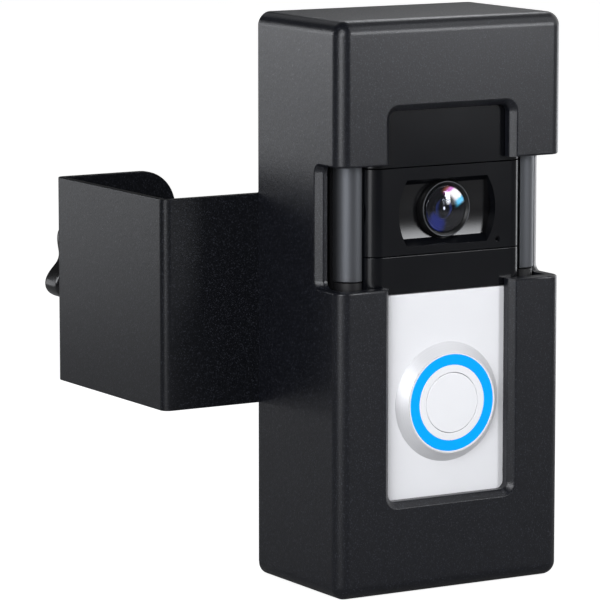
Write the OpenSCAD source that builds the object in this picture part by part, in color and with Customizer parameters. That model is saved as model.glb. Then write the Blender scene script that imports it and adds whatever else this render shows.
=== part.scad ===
// Video doorbell locked in an anti-theft door mount.
// X runs to the right, Y runs into the door and Z runs up. The origin is the middle of the
// pads' back face, where the mount lies on the door.

/* [Doorbell] */
// Height of the doorbell
bell_h = 126.4; // [120:0.2:134]
// Depth from the head's front to the case's back
bell_d = 28.9; // [27:0.1:32]
// Width of the black head between the rails
head_w = 49; // [46:0.5:51]
// How far each side rail stands out beside the head
rail_out = 6.3; // [5.9:0.1:6.7]
// Rounding of the head's long edges
head_r = 4.6; // [3:0.1:6]
// Radius of the silver side rails
rail_r = 4.2; // [3.6:0.1:4.6]
// How far the rails' middle lies behind the head's front
rail_set = 6.4; // [6:0.1:7]
// Wall thickness of the front pieces
skin_t = 1.6; // [1.3:0.1:2]
// Wall thickness of the rear case
case_wall = 1.8; // [1.5:0.1:2.2]
// Joint line between neighbouring front pieces
seam = 0.25; // [0.15:0.05:0.4]
// Height of the seam over the camera, from the middle
seam_high = 36.9; // [36:0.1:40]
// Height of the seam under the camera, from the middle
seam_low = 13.7; // [13:0.1:14.5]
// Height of the faceplate's top edge, from the middle
plate_top = 3.4; // [2:0.1:4]
// Rounding of the faceplate's long edges
plate_r = 6.5; // [5:0.1:7]

/* [Camera] */
// Height of the lens over the middle
lens_z = 25.2; // [24.6:0.1:26]
// Radius of the front lens
lens_r = 6.4; // [6:0.1:6.8]
// Radius of the lens barrel
barrel_r = 7.8; // [7.4:0.1:8.2]
// Width of the camera recess
recess_w = 25; // [23:0.2:25.6]
// Height of the camera recess
recess_h = 17.6; // [16.6:0.1:18]
// How far the recess's sides bulge outwards
recess_bulge = 2.6; // [1.6:0.1:2.8]
// Slope taken by the recess's upper and lower edges
recess_slope = 1.8; // [1.2:0.1:2]
// How far the recess's middle lies under the lens
recess_drop = 0.5; // [0:0.1:0.8]
// Radius of the drum that carries the lens
drum_r = 9.6; // [9.2:0.1:10]
// How far the drum lies behind the head's front
drum_set = 2.6; // [2.2:0.1:3]

/* [Button] */
// Height of the button under the middle
button_drop = 26.2; // [25:0.1:28]
// Radius of the silver cone at its foot
cone_r = 16.1; // [15.6:0.1:17]
// How far the cone stands out of the faceplate
cone_h = 2.7; // [2.2:0.1:3.2]
// Outer radius of the light ring
light_r = 12.95; // [12.6:0.05:13.2]
// Width of the light ring
light_w = 2.8; // [2.4:0.1:3.2]
// Width of the thin white trim round the light ring
trim_w = 0.4; // [0.3:0.05:0.5]
// Width of the white ring between the light ring and the cap
white_w = 2; // [1.7:0.1:2.3]
// Travel of the button
button_travel = 0.8; // [0.5:0.1:0.9]
// Gap round the moving cap
cap_gap = 0.25; // [0.2:0.05:0.35]

/* [Security cover] */
// Thickness of the side, top and bottom walls
cover_wall = 3; // [2.5:0.1:3.5]
// Thickness of the front wall
cover_front = 3.6; // [3:0.1:4]
// Rounding of the outer edges
cover_r = 3.7; // [3:0.1:4.5]
// Space beside the doorbell, on each side
side_gap = 1.2; // [1:0.1:1.6]
// How far the doorbell sits to the right of the cover's middle
bell_shift = 0.9; // [0:0.1:0.9]
// Space over and under the doorbell
end_gap = 10; // [9:0.1:11]
// Width of the window
window_w = 38.8; // [37:0.2:41]
// Top of the window over the middle
window_top = 53.2; // [51:0.1:55]
// Bottom of the window under the middle
window_drop = 51.7; // [50:0.1:54]
// Rounding of the window's corners
window_r = 2.5; // [1.5:0.1:3]
// Top of the camera-level cut over the middle
band_top = 38.2; // [37.8:0.1:39]
// Bottom of the camera-level cut over the middle
band_bottom = 5.6; // [5.2:0.1:7]
// How far the camera-level cut runs back along the sides
band_depth = 10.8; // [10:0.1:11.4]

/* [Arm and clamp] */
// Thickness of the bracket's steel
sheet_t = 2; // [1.8:0.1:2.2]
// Height of the strap
strap_h = 56.6; // [52:0.2:60]
// How far the strap's middle lies under the cover's middle
strap_drop = 0.6; // [0:0.1:2]
// Reach of the arm beyond the cover's side
arm_reach = 29; // [27:0.5:34]
// Room between the door's face and the return flange
throat = 56.3; // [56:0.1:64]
// Width of the return flange
flange_w = 36.8; // [34:0.2:40]
// Rounding of the return flange's free corners
flange_r = 10.5; // [8:0.1:12]
// Outer radius of the bends
bend_r = 2.4; // [2.3:0.1:3]
// Thread radius of the clamp screw
spindle_r = 4; // [3.9:0.05:4.1]
// Thickness of the pressure plate
press_t = 3; // [2.8:0.1:3.4]
// Door thickness that the clamp stands at
grip = 35.5; // [35:0.1:36]
// Screw travel left towards the door
travel_in = 2.5; // [2:0.1:2.5]
// Radius of the knob over its lobes
knob_r = 15.4; // [14.5:0.1:17]
// Thickness of the knob
knob_t = 10; // [9.4:0.1:12]

/* [Layers behind the doorbell] */
// Thickness of the pads on the door
pad_t = 1.2; // [1:0.1:2]
// Thickness of the foam behind the wall plate
foam_t = 4.4; // [4:0.1:5]
// Thickness of the doorbell's wall plate
wall_plate_t = 4; // [3.8:0.1:4.6]

/* [Hidden] */
$fn = 64;

// Clearances
skin_gap = 0.3;    // between the doorbell's front and the cover's front wall
fit_gap = 0.05;    // radial, between a screw or shaft and its hole
loose_gap = 0.2;   // between rigid pieces that only lie beside each other

// Layers from the door to the front, as Y values
y_steel = -pad_t;
y_plate = y_steel - sheet_t;
y_foam = y_plate - foam_t;
y_bell = y_foam - wall_plate_t;
y_head = y_bell - bell_d;
y_inner = y_head - skin_gap;
y_front = y_inner - cover_front;
y_rail = y_head + rail_set;

// Cover
bell_w = head_w + 2 * rail_out;                 // doorbell over its side rails
cavity_w = bell_w + 2 * side_gap;
cavity_h = bell_h + 2 * end_gap;
cover_w = cavity_w + 2 * cover_wall;
cover_h = cavity_h + 2 * cover_wall;
y_band = y_front + band_depth;
band_r = 2.2;            // rounding of the cut's inner corners
rim_set = 1;             // how far the back plate's edge lies inside the cover's outline
tab_t = sheet_t;         // bracket tabs inside the cover
tab_gap = 0.15;          // between a tab and the cover's wall
tab_l = 12;              // length of the lower tab
y_screw = y_plate - tab_l / 2;
tab_w = 34;              // width of the lower tab
hook_l = 10;             // length of the upper tab
hook_w = 24;             // width of the upper tab
ledge_t = 1.8;           // ledge in the cover that hooks under the upper tab
screw_r = 2;             // cover screws
screw_x = 10;            // cover screws, from the middle
screw_head_r = 3.9;
screw_head_t = 1.6;
nut_t = 3;
nut_across = 7;

// Strap and clamp
strap_z = -strap_drop;
strap_low = strap_z - strap_h / 2;
strap_high = strap_z + strap_h / 2;
x_cover = cover_w / 2;
x_side = -x_cover - arm_reach;                  // outer face of the side plate
y_flange = throat;                              // inner face of the return flange
y_back = y_flange + sheet_t;                    // its back face
x_screw = x_side + (sheet_t + flange_w) / 2 + 0.2;
bend_in = bend_r - sheet_t;
clamp_nut_t = 5;
clamp_nut_across = 13;
pad_edge = 4;                                   // how far the pads keep from the steel's edges
pad_r = 3;
lining_t = 1.5;
press_pad_t = 2.5;
boss_t = 3;
boss_r = 8;
y_press = grip + press_pad_t;                   // front face of the pressure plate
y_socket = y_press + press_t + boss_t + 0.1;    // shoulder of the spindle
tip_r = 3;
clip_t = 0.8;
clip_pocket = 1.6;
clip_groove = 0.55;
y_clip = y_press + clip_groove;                  // front of the clip's groove
y_knob = y_back + clamp_nut_t + travel_in + 0.4;
lobes = 5;
lobe_turn = 199;                                // angle of the first lobe
lobe_r = 4.6;
knob_hub_r = 7.5;
spindle_bite = 7;                               // how deep the spindle sits in the knob

// Doorbell
case_w = bell_w - 0.8;
frame_t = 2;
seal_t = 0.8;
y_frame = y_head + 9.7;                         // front of the mid frame
y_seal = y_frame + frame_t;
y_case = y_seal + seal_t;
back_wall = 2;
y_inside = y_bell - back_wall;                  // inner face of the case's back wall
rail_cut = head_w / 2 + loose_gap;
screw_col_x = case_w / 2 - 4.6;
screw_col_z = bell_h / 2 - 5;
z_button = -button_drop;
y_cone = y_head - cone_h;
cone_top_r = light_r + trim_w + 0.2;
stem_r = cone_r - 0.95;
light_in = light_r - light_w;
white_in = light_in - white_w;
cap_r = white_in - cap_gap;
skirt_t = 1.2;
lip_w = 1;
lip_t = 1;
spring_t = 0.8;
spring_r = 6;
hair_gap = 0.03;         // between rings that nest in each other
cap_t = 2;
board_t = 1.2;
y_board = y_frame - 3.4;                        // front face of the button board
switch_t = 2.2;
plunger_t = 1;
led_w = 1.6;
led_t = 0.9;
y_plunger = y_board - switch_t - plunger_t;
y_cap_stem = y_plunger - button_travel - 0.1;
y_light_back = y_board - 1.6;
y_spring = y_cone + cap_t + button_travel + fit_gap;
y_lip = y_board - button_travel - lip_t - 1.3;  // front of the cap's lip
drum_y = y_head + drum_set + drum_r;
y_sensor_board = drum_y + 3.4;
y_main = y_inside - 5.2;                        // back face of the main board
y_lens = y_head - 0.7;                          // crown of the front lens
y_ring = y_head + 0.5;
y_barrel = y_ring + 1;
lens_lip = 0.35;                                // how far the ring grips over the lens
lens_t = 1.8;
dome_r = 15;
y_iris = y_barrel + lens_t + 1.3;
iris_t = 0.6;
pupil_r = 2.7;
rear_lens_r = 4.5;
recess_z = lens_z - recess_drop;
mic_x = 15.9;
mic_z = 16.2;
screen_low = plate_top + seam;
rail_low = screen_low + 3.6;                    // lower end of the rails
rail_high = bell_h / 2 - 3;
end_r = 5;                                      // rounding of the doorbell's top and bottom edges
sleeve_w = recess_w + 2 * recess_bulge + 2.6;
sleeve_h = recess_h + 1.8;
sleeve_d = 5;
slope_d = 2.4;                                  // depth of the sloped edges
drum_w = sleeve_w + 2.4;
drum_gap = 0.3;
flange_t = 1.2;
mic_r = 1.3;
lug_l = 7.6;
setup_y = y_inside - 6.4;
setup_z = 46;
setup_r = 2;
setup_travel = 0.4;
speaker_y = (y_seal + y_inside) / 2;
speaker_r = 6.5;
speaker_h = 6;
gasket_t = 0.8;
battery_top = 6;
battery_h = 54;
battery_w = case_w - 20.8;
board_w = battery_w + 8;
board_top = bell_h / 2 - 9.7;
wall_w = case_w - 6.8;                          // wall plate
wall_h = bell_h - 10;
wall_plate_r = 4;
wall_rim = 2;                                   // its wall
z_floor = -bell_h / 2 + case_wall;              // inside of the case's floor
wall_screw_x = 20;
wall_screw_z = [-45, 45];
wall_screw_r = 1.9;
wall_base_t = 2;
cushion_w = cavity_w - 16;                      // cushions over and under the doorbell

// ---------- helpers ----------

// Block between limits
module block(x0, x1, y0, y1, z0, z1) {
    translate([x0, y0, z0]) cube([x1 - x0, y1 - y0, z1 - z0]);
}

// Rectangle with round corners
module round_rect(w, h, r) {
    square([w - 2 * r, h], center = true);
    square([w, h - 2 * r], center = true);
    for (sx = [-1, 1], sy = [-1, 1])
        translate([sx * (w / 2 - r), sy * (h / 2 - r)]) circle(r);
}

// Children drawn in X and Z, extruded from y0 to y1
module along_y(y0, y1) {
    translate([0, y1, 0]) rotate([90, 0, 0]) linear_extrude(y1 - y0) children();
}

// Children drawn in X and Y, extruded from z0 to z1
module along_z(z0, z1) {
    translate([0, 0, z0]) linear_extrude(z1 - z0) children();
}

// Children drawn in Y and Z, extruded from x0 to x1
module along_x(x0, x1) {
    translate([x0, 0, 0]) rotate([90, 0, 90]) linear_extrude(x1 - x0) children();
}

// Round bar along Y
module bar_y(r, y0, y1, x = 0, z = 0) {
    translate([x, y1, z]) rotate([90, 0, 0]) cylinder(h = y1 - y0, r = r);
}

// Round bar along Z
module bar_z(r, z0, z1, x = 0, y = 0) {
    translate([x, y, z0]) cylinder(h = z1 - z0, r = r);
}

// Ring along Y
module ring_y(r_out, r_in, y0, y1, x = 0, z = 0) {
    difference() {
        bar_y(r_out, y0, y1, x, z);
        bar_y(r_in, y0 - 1, y1 + 1, x, z);
    }
}

// Section in X and Y with a flat front at y0, round front corners and square back corners
module front_section(w, y0, y1, r) {
    translate([-w / 2 + r, y0]) square([w - 2 * r, y1 - y0]);
    translate([-w / 2, y0 + r]) square([w, y1 - y0 - r]);
    for (s = [-1, 1]) intersection() {
        translate([s * (w / 2 - r), y0 + r]) circle(r);
        translate([-w / 2, y0]) square([w, y1 - y0]);
    }
}

// Space inside the doorbell's round top and bottom edges, or an offset inside it
module between_ends(inset) {
    rotate([0, 90, 0]) along_z(-bell_w, bell_w)
        front_section(bell_h - 2 * inset, y_head + inset, y_bell, end_r - inset);
}

// Front shell between two heights, open at the back
module front_shell(w, r, z0, z1) {
    difference() {
        intersection() {
            along_z(z0, z1) front_section(w, y_head, y_frame, r);
            between_ends(0);
        }
        intersection() {
            along_z(z0 - 1, z1 + 1) front_section(w - 2 * skin_t, y_head + skin_t, y_frame + 1, r - skin_t);
            between_ends(skin_t);
        }
    }
}

// Case outline, or an offset inside it
module case_outline(inset = 0) {
    round_rect(case_w - 2 * inset, bell_h - 2 * inset, end_r - inset);
}

// Children moved to where the doorbell sits in the cover
module seated() {
    translate([bell_shift, 0, 0]) children();
}

// Children at the four corner screw places
module at_case_screws() {
    for (sx = [-1, 1], sz = [-1, 1]) translate([sx * screw_col_x, 0, sz * screw_col_z]) children();
}

// ---------- door mount ----------

module security_cover() {
    color("#2c2d30") difference() {
        union() {
            difference() {
                intersection() {
                    along_y(y_front, y_plate) round_rect(cover_w, cover_h, cover_r);
                    along_z(-cover_h / 2, cover_h / 2) front_section(cover_w, y_front, y_plate, cover_r);
                    rotate([0, 90, 0]) along_z(-cover_w / 2, cover_w / 2)
                        front_section(cover_h, y_front, y_plate, cover_r);
                }
                along_y(y_inner, y_plate + 1) round_rect(cavity_w, cavity_h, 1.2);
            }
            cover_ledge();
        }
        along_y(y_front - 1, y_inner + 1) translate([0, (window_top - window_drop) / 2])
            round_rect(window_w, window_top + window_drop, window_r);
        band_cut();
        for (s = [-1, 1]) {
            bar_z(screw_r + 0.2, -cover_h / 2 - 1, -cavity_h / 2 + 1, s * screw_x, y_screw);
            bar_z(screw_head_r + 0.1, -cover_h / 2 - 1, -cover_h / 2 + screw_head_t + 0.1,
                s * screw_x, y_screw);
        }
    }
}

// Camera-level cut through the front wall and both sides
module band_cut() {
    along_x(-cover_w, cover_w) {
        translate([y_front - 2, band_bottom]) square([band_depth + 2 - band_r, band_top - band_bottom]);
        translate([y_front - 2, band_bottom + band_r])
            square([band_depth + 2, band_top - band_bottom - 2 * band_r]);
        for (z = [band_bottom + band_r, band_top - band_r]) translate([y_band - band_r, z]) circle(band_r);
    }
}

// Pocket under the cover's top wall that hooks over the bracket's upper tab
module cover_ledge() {
    pocket_h = tab_t + 2 * tab_gap;
    difference() {
        block(-hook_w / 2 - 2, hook_w / 2 + 2, y_plate - hook_l - 1.5, y_plate - 2,
            cavity_h / 2 - pocket_h - ledge_t, cavity_h / 2 + 0.5);
        block(-hook_w / 2 - 0.3, hook_w / 2 + 0.3, y_plate - hook_l - 0.3, y_plate,
            cavity_h / 2 - pocket_h, cavity_h / 2);
    }
}

module arm_bracket() {
    color("#1c1d1f") difference() {
        union() {
            along_y(y_plate, y_steel)
                round_rect(cover_w - 2 * rim_set, cover_h - 2 * rim_set, cover_r - rim_set);
            block(x_side + bend_r, -x_cover + 3, y_plate, y_steel, strap_low, strap_high);
            bend(x_side + bend_r, y_plate + bend_r, 180);
            block(x_side, x_side + sheet_t, y_plate + bend_r, y_back - bend_r, strap_low, strap_high);
            bend(x_side + bend_r, y_back - bend_r, 90);
            flange();
            // lower tab with the press nuts, and upper hook tab
            block(-tab_w / 2, tab_w / 2, y_plate - tab_l, y_plate + 0.5,
                -cavity_h / 2 + tab_gap, -cavity_h / 2 + tab_gap + tab_t);
            block(-hook_w / 2, hook_w / 2, y_plate - hook_l, y_plate + 0.5,
                cavity_h / 2 - tab_gap - tab_t, cavity_h / 2 - tab_gap);
        }
        for (s = [-1, 1]) {
            bar_z(screw_r + loose_gap, -cavity_h / 2 - 1, -cavity_h / 2 + tab_t + 1, s * screw_x, y_screw);
            seated() for (z = wall_screw_z)
                bar_y(wall_screw_r + fit_gap, y_plate - 1, y_steel + 1, s * wall_screw_x, z);
        }
        bar_y(spindle_r + 0.6, y_flange - 1, y_back + 1, x_screw, strap_z);
    }
}

// Quarter bend of the strap about a vertical line, starting at an angle
module bend(x, y, from) {
    translate([x, y, strap_low]) rotate([0, 0, from]) rotate_extrude(angle = 90)
        translate([bend_in, 0]) square([sheet_t, strap_h]);
}

// Return flange with two round free corners
module flange() {
    x_free = x_side + flange_w;
    along_y(y_flange, y_back) {
        translate([x_side + bend_r, strap_low]) square([flange_w - bend_r - flange_r, strap_h]);
        translate([x_free - flange_r - 1, strap_low + flange_r])
            square([flange_r + 1, strap_h - 2 * flange_r]);
        for (s = [-1, 1])
            translate([x_free - flange_r, strap_z + s * (strap_h / 2 - flange_r)]) circle(flange_r);
    }
}

module cover_screws() {
    color("#3a3b3d") for (s = [-1, 1]) difference() {
        union() {
            bar_z(screw_head_r, -cover_h / 2, -cover_h / 2 + screw_head_t, s * screw_x, y_screw);
            bar_z(screw_r, -cover_h / 2 + screw_head_t, -cavity_h / 2 + tab_gap + tab_t + nut_t,
                s * screw_x, y_screw);
        }
        // six-lobe socket, drawn as a hexagon
        translate([s * screw_x, y_screw, -cover_h / 2 - 0.1]) cylinder(h = 1.2, r = 1.6, $fn = 6);
    }
}

module cover_nuts() {
    z0 = -cavity_h / 2 + tab_gap + tab_t;
    color("#b9bcc0") for (s = [-1, 1]) translate([s * screw_x, y_screw, z0]) difference() {
        cylinder(h = nut_t, d = nut_across / cos(30), $fn = 6);
        translate([0, 0, -1]) cylinder(h = nut_t + 2, r = screw_r + fit_gap);
    }
}

module door_pads() {
    color("#3b3b3c") {
        along_y(y_steel, 0) round_rect(cover_w - 2 * pad_edge, cover_h - 3.5 * pad_edge, pad_r);
        along_y(y_steel, 0) translate([(x_side - x_cover) / 2 + 1, strap_z])
            round_rect(arm_reach - 2 * pad_edge, strap_h - 2 * pad_edge, pad_r);
    }
}

module edge_pad() {
    color("#2b2b2c") along_x(x_side + sheet_t, x_side + sheet_t + lining_t)
        translate([(y_flange + y_steel) / 2, strap_z])
            round_rect(y_flange - y_steel - 2 * pad_edge, strap_h - 2 * pad_edge, pad_r);
}

module clamp_nut() {
    color("#b9bcc0") translate([x_screw, y_back + clamp_nut_t, strap_z]) rotate([90, 0, 0]) difference() {
        cylinder(h = clamp_nut_t, d = clamp_nut_across / cos(30), $fn = 6);
        translate([0, 0, -1]) cylinder(h = clamp_nut_t + 2, r = spindle_r + fit_gap);
    }
}

module clamp_spindle() {
    color("#c3c5c8") difference() {
        union() {
            bar_y(spindle_r, y_socket, y_knob + spindle_bite, x_screw, strap_z);
            bar_y(tip_r, y_press + 0.35, y_socket, x_screw, strap_z);
        }
        ring_y(tip_r + 1, tip_r - clip_groove, y_clip, y_clip + clip_t + 0.1, x_screw, strap_z);
    }
}

module clamp_knob() {
    color("#0d0d0e") difference() {
        union() {
            intersection() {
                translate([x_screw, y_knob + knob_t, strap_z]) rotate([90, 0, 0])
                    linear_extrude(knob_t) star();
                knob_turning();
            }
            bar_y(knob_hub_r, y_knob, y_knob + knob_t, x_screw, strap_z);
        }
        bar_y(spindle_r + fit_gap, y_knob - 1, y_knob + spindle_bite + 0.2, x_screw, strap_z);
        bar_y(5.2, y_knob + knob_t - 1.4, y_knob + knob_t + 1, x_screw, strap_z);
    }
}

// Outline of the knob
module star() {
    circle(knob_r - 3);
    for (i = [0 : lobes - 1]) rotate(lobe_turn + i * 360 / lobes)
        translate([knob_r - lobe_r, 0]) circle(lobe_r);
}

// Turned blank that rounds the knob's rims
module knob_turning() {
    edge = 2.4;
    translate([x_screw, y_knob + knob_t, strap_z]) rotate([90, 0, 0]) rotate_extrude() {
        square([knob_r - edge, knob_t]);
        translate([0, edge]) square([knob_r, knob_t - 2 * edge]);
        for (h = [edge, knob_t - edge]) translate([knob_r - edge, h]) circle(edge);
    }
}

module knob_cap() {
    color("#17181a") bar_y(5, y_knob + knob_t - 1.4, y_knob + knob_t, x_screw, strap_z);
}

module pressure_plate() {
    color("#9a9da1") difference() {
        union() {
            along_y(y_press, y_press + press_t) translate([x_screw, strap_z]) round_rect(30, 44, 4);
            bar_y(boss_r, y_press + press_t, y_press + press_t + boss_t, x_screw, strap_z);
        }
        bar_y(tip_r + 0.06, y_press - 1, y_socket + 1, x_screw, strap_z);
        bar_y(tip_r + 2.6, y_press - 1, y_press + clip_pocket, x_screw, strap_z);
    }
}

module pressure_pad() {
    color("#222223") along_y(grip, y_press) translate([x_screw, strap_z]) round_rect(30, 44, 4);
}

module spindle_clip() {
    color("#6f7276") ring_y(tip_r + 1.7, tip_r - clip_groove + fit_gap, y_clip + fit_gap,
        y_clip + fit_gap + clip_t, x_screw, strap_z);
}

// Two strips on each side, as thick as the space there
module side_cushions() {
    color("#303032") for (s = [-1, 1], z = [-30, 24]) {
        pad_w = (cavity_w - case_w) / 2 - s * bell_shift;
        translate([s * (cavity_w - pad_w) / 2, 0, z])
            along_y(y_case + 1, y_case + 13) square([pad_w, z < 0 ? 50 : 16], center = true);
    }
}

module end_cushions() {
    color("#303032") for (s = [-1, 1]) translate([bell_shift / 2, 0, s * (bell_h + cavity_h) / 4])
        block(-cushion_w / 2, cushion_w / 2, y_frame, y_plate - tab_l - 2.5, -end_gap / 2, end_gap / 2);
}

module backing_foam() {
    color("#29292a") seated() difference() {
        along_y(y_foam, y_plate) round_rect(wall_w - wall_rim, wall_h - 6.4, wall_plate_r);
        for (s = [-1, 1], z = wall_screw_z) bar_y(3, y_foam - 1, y_plate + 1, s * wall_screw_x, z);
    }
}

// ---------- doorbell: back ----------

module wall_plate() {
    color("#1a1a1b") seated() difference() {
        along_y(y_bell, y_foam) round_rect(wall_w, wall_h, wall_plate_r);
        along_y(y_bell - 1, y_foam - wall_base_t)
            round_rect(wall_w - 2 * wall_rim, wall_h - 2 * wall_rim, wall_plate_r - 1);
        for (s = [-1, 1], z = wall_screw_z)
            bar_y(wall_screw_r + loose_gap, y_foam - 3, y_foam + 1, s * wall_screw_x, z);
    }
}

module wall_plate_screws() {
    color("#aeb1b5") seated() for (s = [-1, 1], z = wall_screw_z) difference() {
        union() {
            bar_y(3.4, y_foam - wall_base_t - 1.6, y_foam - wall_base_t, s * wall_screw_x, z);
            bar_y(wall_screw_r, y_foam - wall_base_t, y_steel, s * wall_screw_x, z);
        }
        block(s * wall_screw_x - 2, s * wall_screw_x + 2, y_foam - wall_base_t - 2,
            y_foam - wall_base_t - 0.8, z - 0.4, z + 0.4);
    }
}

module rear_case() {
    color("#151516") seated() difference() {
        union() {
            difference() {
                along_y(y_case, y_bell) case_outline();
                along_y(y_case - 1, y_inside) case_outline(case_wall);
            }
            at_case_screws() bar_y(3.2, y_case, y_inside + 0.5);
            for (sx = [-1, 1], z = [16, 52]) bar_y(2.5, y_main, y_inside + 0.5, sx * 21, z);
            block(-battery_w / 2, battery_w / 2, y_inside - 0.6, y_inside + 0.5,
                battery_top - battery_h + 8, battery_top);
        }
        at_case_screws() {
            bar_y(1.5, y_case - 1, y_bell + 1);
            bar_y(2.7, y_bell - 1.7, y_bell + 1);
        }
        for (s = [-1, 1]) bar_y(1.5, y_inside - 1, y_bell + 1, s * 8, 40);
        // pairing button in the right wall
        translate([case_w / 2 - case_wall - 1, setup_y, setup_z]) rotate([0, 90, 0])
            cylinder(h = 5, r = setup_r + cap_gap);
        // speaker slots through the floor
        for (x = [-3 : 1.5 : 3])
            block(x - 0.4, x + 0.4, speaker_y - 3.5, speaker_y + 3.5, -bell_h / 2 - 1, -bell_h / 2 + 3);
    }
}

module case_seal() {
    color("#4a4b4d") seated() difference() {
        along_y(y_seal, y_case) case_outline();
        along_y(y_seal - 1, y_case + 1) case_outline(case_wall);
    }
}

module mid_frame() {
    color("#1e1f20") seated() difference() {
        union() {
            along_y(y_frame, y_seal) case_outline();
            // posts that carry the button board
            for (a = [45 : 90 : 315])
                bar_y(2, y_board + board_t, y_frame + 0.5, 11.6 * cos(a), z_button + 11.6 * sin(a));
            // lug for the faceplate's screw
            block(-4, 4, y_frame - 4.6, y_frame + 0.5, -bell_h / 2 + 3.4, -bell_h / 2 + 3.4 + lug_l);
            // posts that carry the camera board
            for (s = [-1, 1]) bar_y(1.8, y_seal - 0.5, y_sensor_board, s * 12, lens_z + drum_r + 2.4);
            // feet under the rails
            along_z(screen_low, rail_low - seam) rail_section(rail_r - 0.3, y_frame + 0.5);
        }
        at_case_screws() bar_y(1.2, y_frame - 1, y_seal + 1);
        block(-drum_w / 2 - 2 * drum_gap, drum_w / 2 + 2 * drum_gap, y_frame - 1, y_seal + 1,
            lens_z - drum_r - 2 * drum_gap, lens_z + drum_r + 2 * drum_gap);
        bar_z(1.25, -bell_h / 2 + 2, -bell_h / 2 + 3.4 + lug_l + 1, 0, y_frame - 2.4);
    }
}

module case_screws() {
    color("#8f9296") seated() at_case_screws() {
        bar_y(2.5, y_bell - 1.6, y_bell - 0.1);
        bar_y(1.15, y_frame + 0.1, y_bell - 1.6);
    }
}

module terminal_screws() {
    color("#c7a650") seated() for (s = [-1, 1]) difference() {
        union() {
            bar_y(2.8, y_bell, y_bell + 1.5, s * 8, 40);
            bar_y(1.45, y_inside, y_bell, s * 8, 40);
        }
        block(s * 8 - 2, s * 8 + 2, y_bell + 0.8, y_bell + 2, 39.6, 40.4);
    }
}

module setup_button() {
    color("#d8702a") seated() translate([0, setup_y, setup_z]) rotate([0, 90, 0]) {
        translate([0, 0, case_w / 2 - case_wall - 1.4]) cylinder(h = 1.2, r = setup_r + 0.8);
        translate([0, 0, case_w / 2 - case_wall - 0.5]) cylinder(h = case_wall + 0.8, r = setup_r);
    }
}

// ---------- doorbell: front ----------

module side_rails() {
    color("#c9cbcf") seated() along_z(rail_low, rail_high) rail_section(rail_r, y_frame);
}

// Both rails' section in X and Y, round outside and cut flat beside the head and at the back
module rail_section(r, y_cut) {
    for (s = [-1, 1]) intersection() {
        translate([s * (bell_w / 2 - rail_r), y_rail]) circle(r);
        translate([s * (rail_cut + bell_w / 2), y_cut - bell_w / 2]) square(bell_w, center = true);
    }
}

module upper_fascia() {
    color("#0b0b0d") seated() front_shell(head_w, head_r, seam_high + seam / 2, bell_h / 2);
}

module motion_window() {
    color("#0c0c0e") seated() front_shell(head_w, head_r, screen_low, seam_low - seam / 2);
}

module camera_bezel() {
    color("#0b0b0d") seated() difference() {
        union() {
            front_shell(head_w, head_r, seam_low + seam / 2, seam_high - seam / 2);
            block(-sleeve_w / 2, sleeve_w / 2, y_head + 0.5, y_head + sleeve_d,
                recess_z - sleeve_h / 2, recess_z + sleeve_h / 2);
        }
        recess();
        drum(drum_w * 2, drum_r + drum_gap);
        bar_y(barrel_r + loose_gap, y_head + 0.05, y_frame, 0, lens_z);
        bar_y(0.5, y_head - 1, y_frame, mic_x, mic_z);
        bar_y(0.8, y_head - 1, y_head + 0.4, mic_x, mic_z);
        bar_y(mic_r + 0.1, y_head + skin_t, y_frame, mic_x, mic_z);
    }
}

// Hollow in front of the drum: bulged sides, sloped upper and lower edges
module recess() {
    half = recess_h / 2;
    arc_r = (half * half + recess_bulge * recess_bulge) / (2 * recess_bulge);
    arc_x = recess_w / 2 + recess_bulge - arc_r;
    intersection() {
        along_y(y_head - 1, y_head + sleeve_d + 1) translate([0, recess_z]) {
            square([recess_w, recess_h], center = true);
            for (s = [-1, 1]) intersection() {
                translate([s * arc_x, 0]) circle(arc_r, $fn = 128);
                translate([s * recess_w / 2, 0]) square([recess_w, recess_h], center = true);
            }
        }
        along_x(-sleeve_w, sleeve_w) translate([0, recess_z]) polygon([
            [y_head - 1, -half], [y_head, -half], [y_head + slope_d, recess_slope - half],
            [y_head + sleeve_d + 1, recess_slope - half], [y_head + sleeve_d + 1, half - recess_slope],
            [y_head + slope_d, half - recess_slope], [y_head, half], [y_head - 1, half]]);
    }
}

// Round blank of the drum
module drum(w, r) {
    translate([0, drum_y, lens_z]) rotate([0, 90, 0]) cylinder(h = w, r = r, center = true);
}

module camera_drum() {
    color("#17171a") seated() difference() {
        union() {
            intersection() {
                drum(drum_w, drum_r);
                block(-drum_w, drum_w, y_head, y_seal + 0.5, lens_z - drum_r, lens_z + drum_r);
            }
            block(-drum_w / 2 - 2.5, drum_w / 2 + 2.5, y_seal, y_seal + flange_t, lens_z - 8, lens_z + 8);
        }
        bar_y(barrel_r + fit_gap, y_head - 1, y_seal + 3, 0, lens_z);
    }
}

module lens_barrel() {
    color("#0a0a0b") seated() difference() {
        bar_y(barrel_r, y_barrel, y_seal + 2.2, 0, lens_z);
        bar_y(lens_r + fit_gap, y_barrel - 1, y_iris + iris_t, 0, lens_z);
        bar_y(rear_lens_r + 0.1, y_barrel, y_seal + 3, 0, lens_z);
    }
}

module lens_ring() {
    color("#101012") seated() difference() {
        translate([0, y_barrel, lens_z]) rotate([90, 0, 0])
            cylinder(h = y_barrel - y_ring, r1 = barrel_r, r2 = lens_r + 0.6);
        bar_y(lens_r - lens_lip, y_ring - 1, y_barrel + 1, 0, lens_z);
    }
}

module lens_front() {
    color("#20284a") seated() intersection() {
        union() {
            bar_y(lens_r, y_barrel + 0.02, y_barrel + lens_t, 0, lens_z);
            bar_y(lens_r - lens_lip - fit_gap, y_head - 1, y_barrel + lens_t, 0, lens_z);
        }
        translate([0, y_lens + dome_r, lens_z]) sphere(dome_r);
    }
}

module lens_iris() {
    color("#050506") seated() ring_y(lens_r, pupil_r, y_iris, y_iris + iris_t, 0, lens_z);
}

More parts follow.
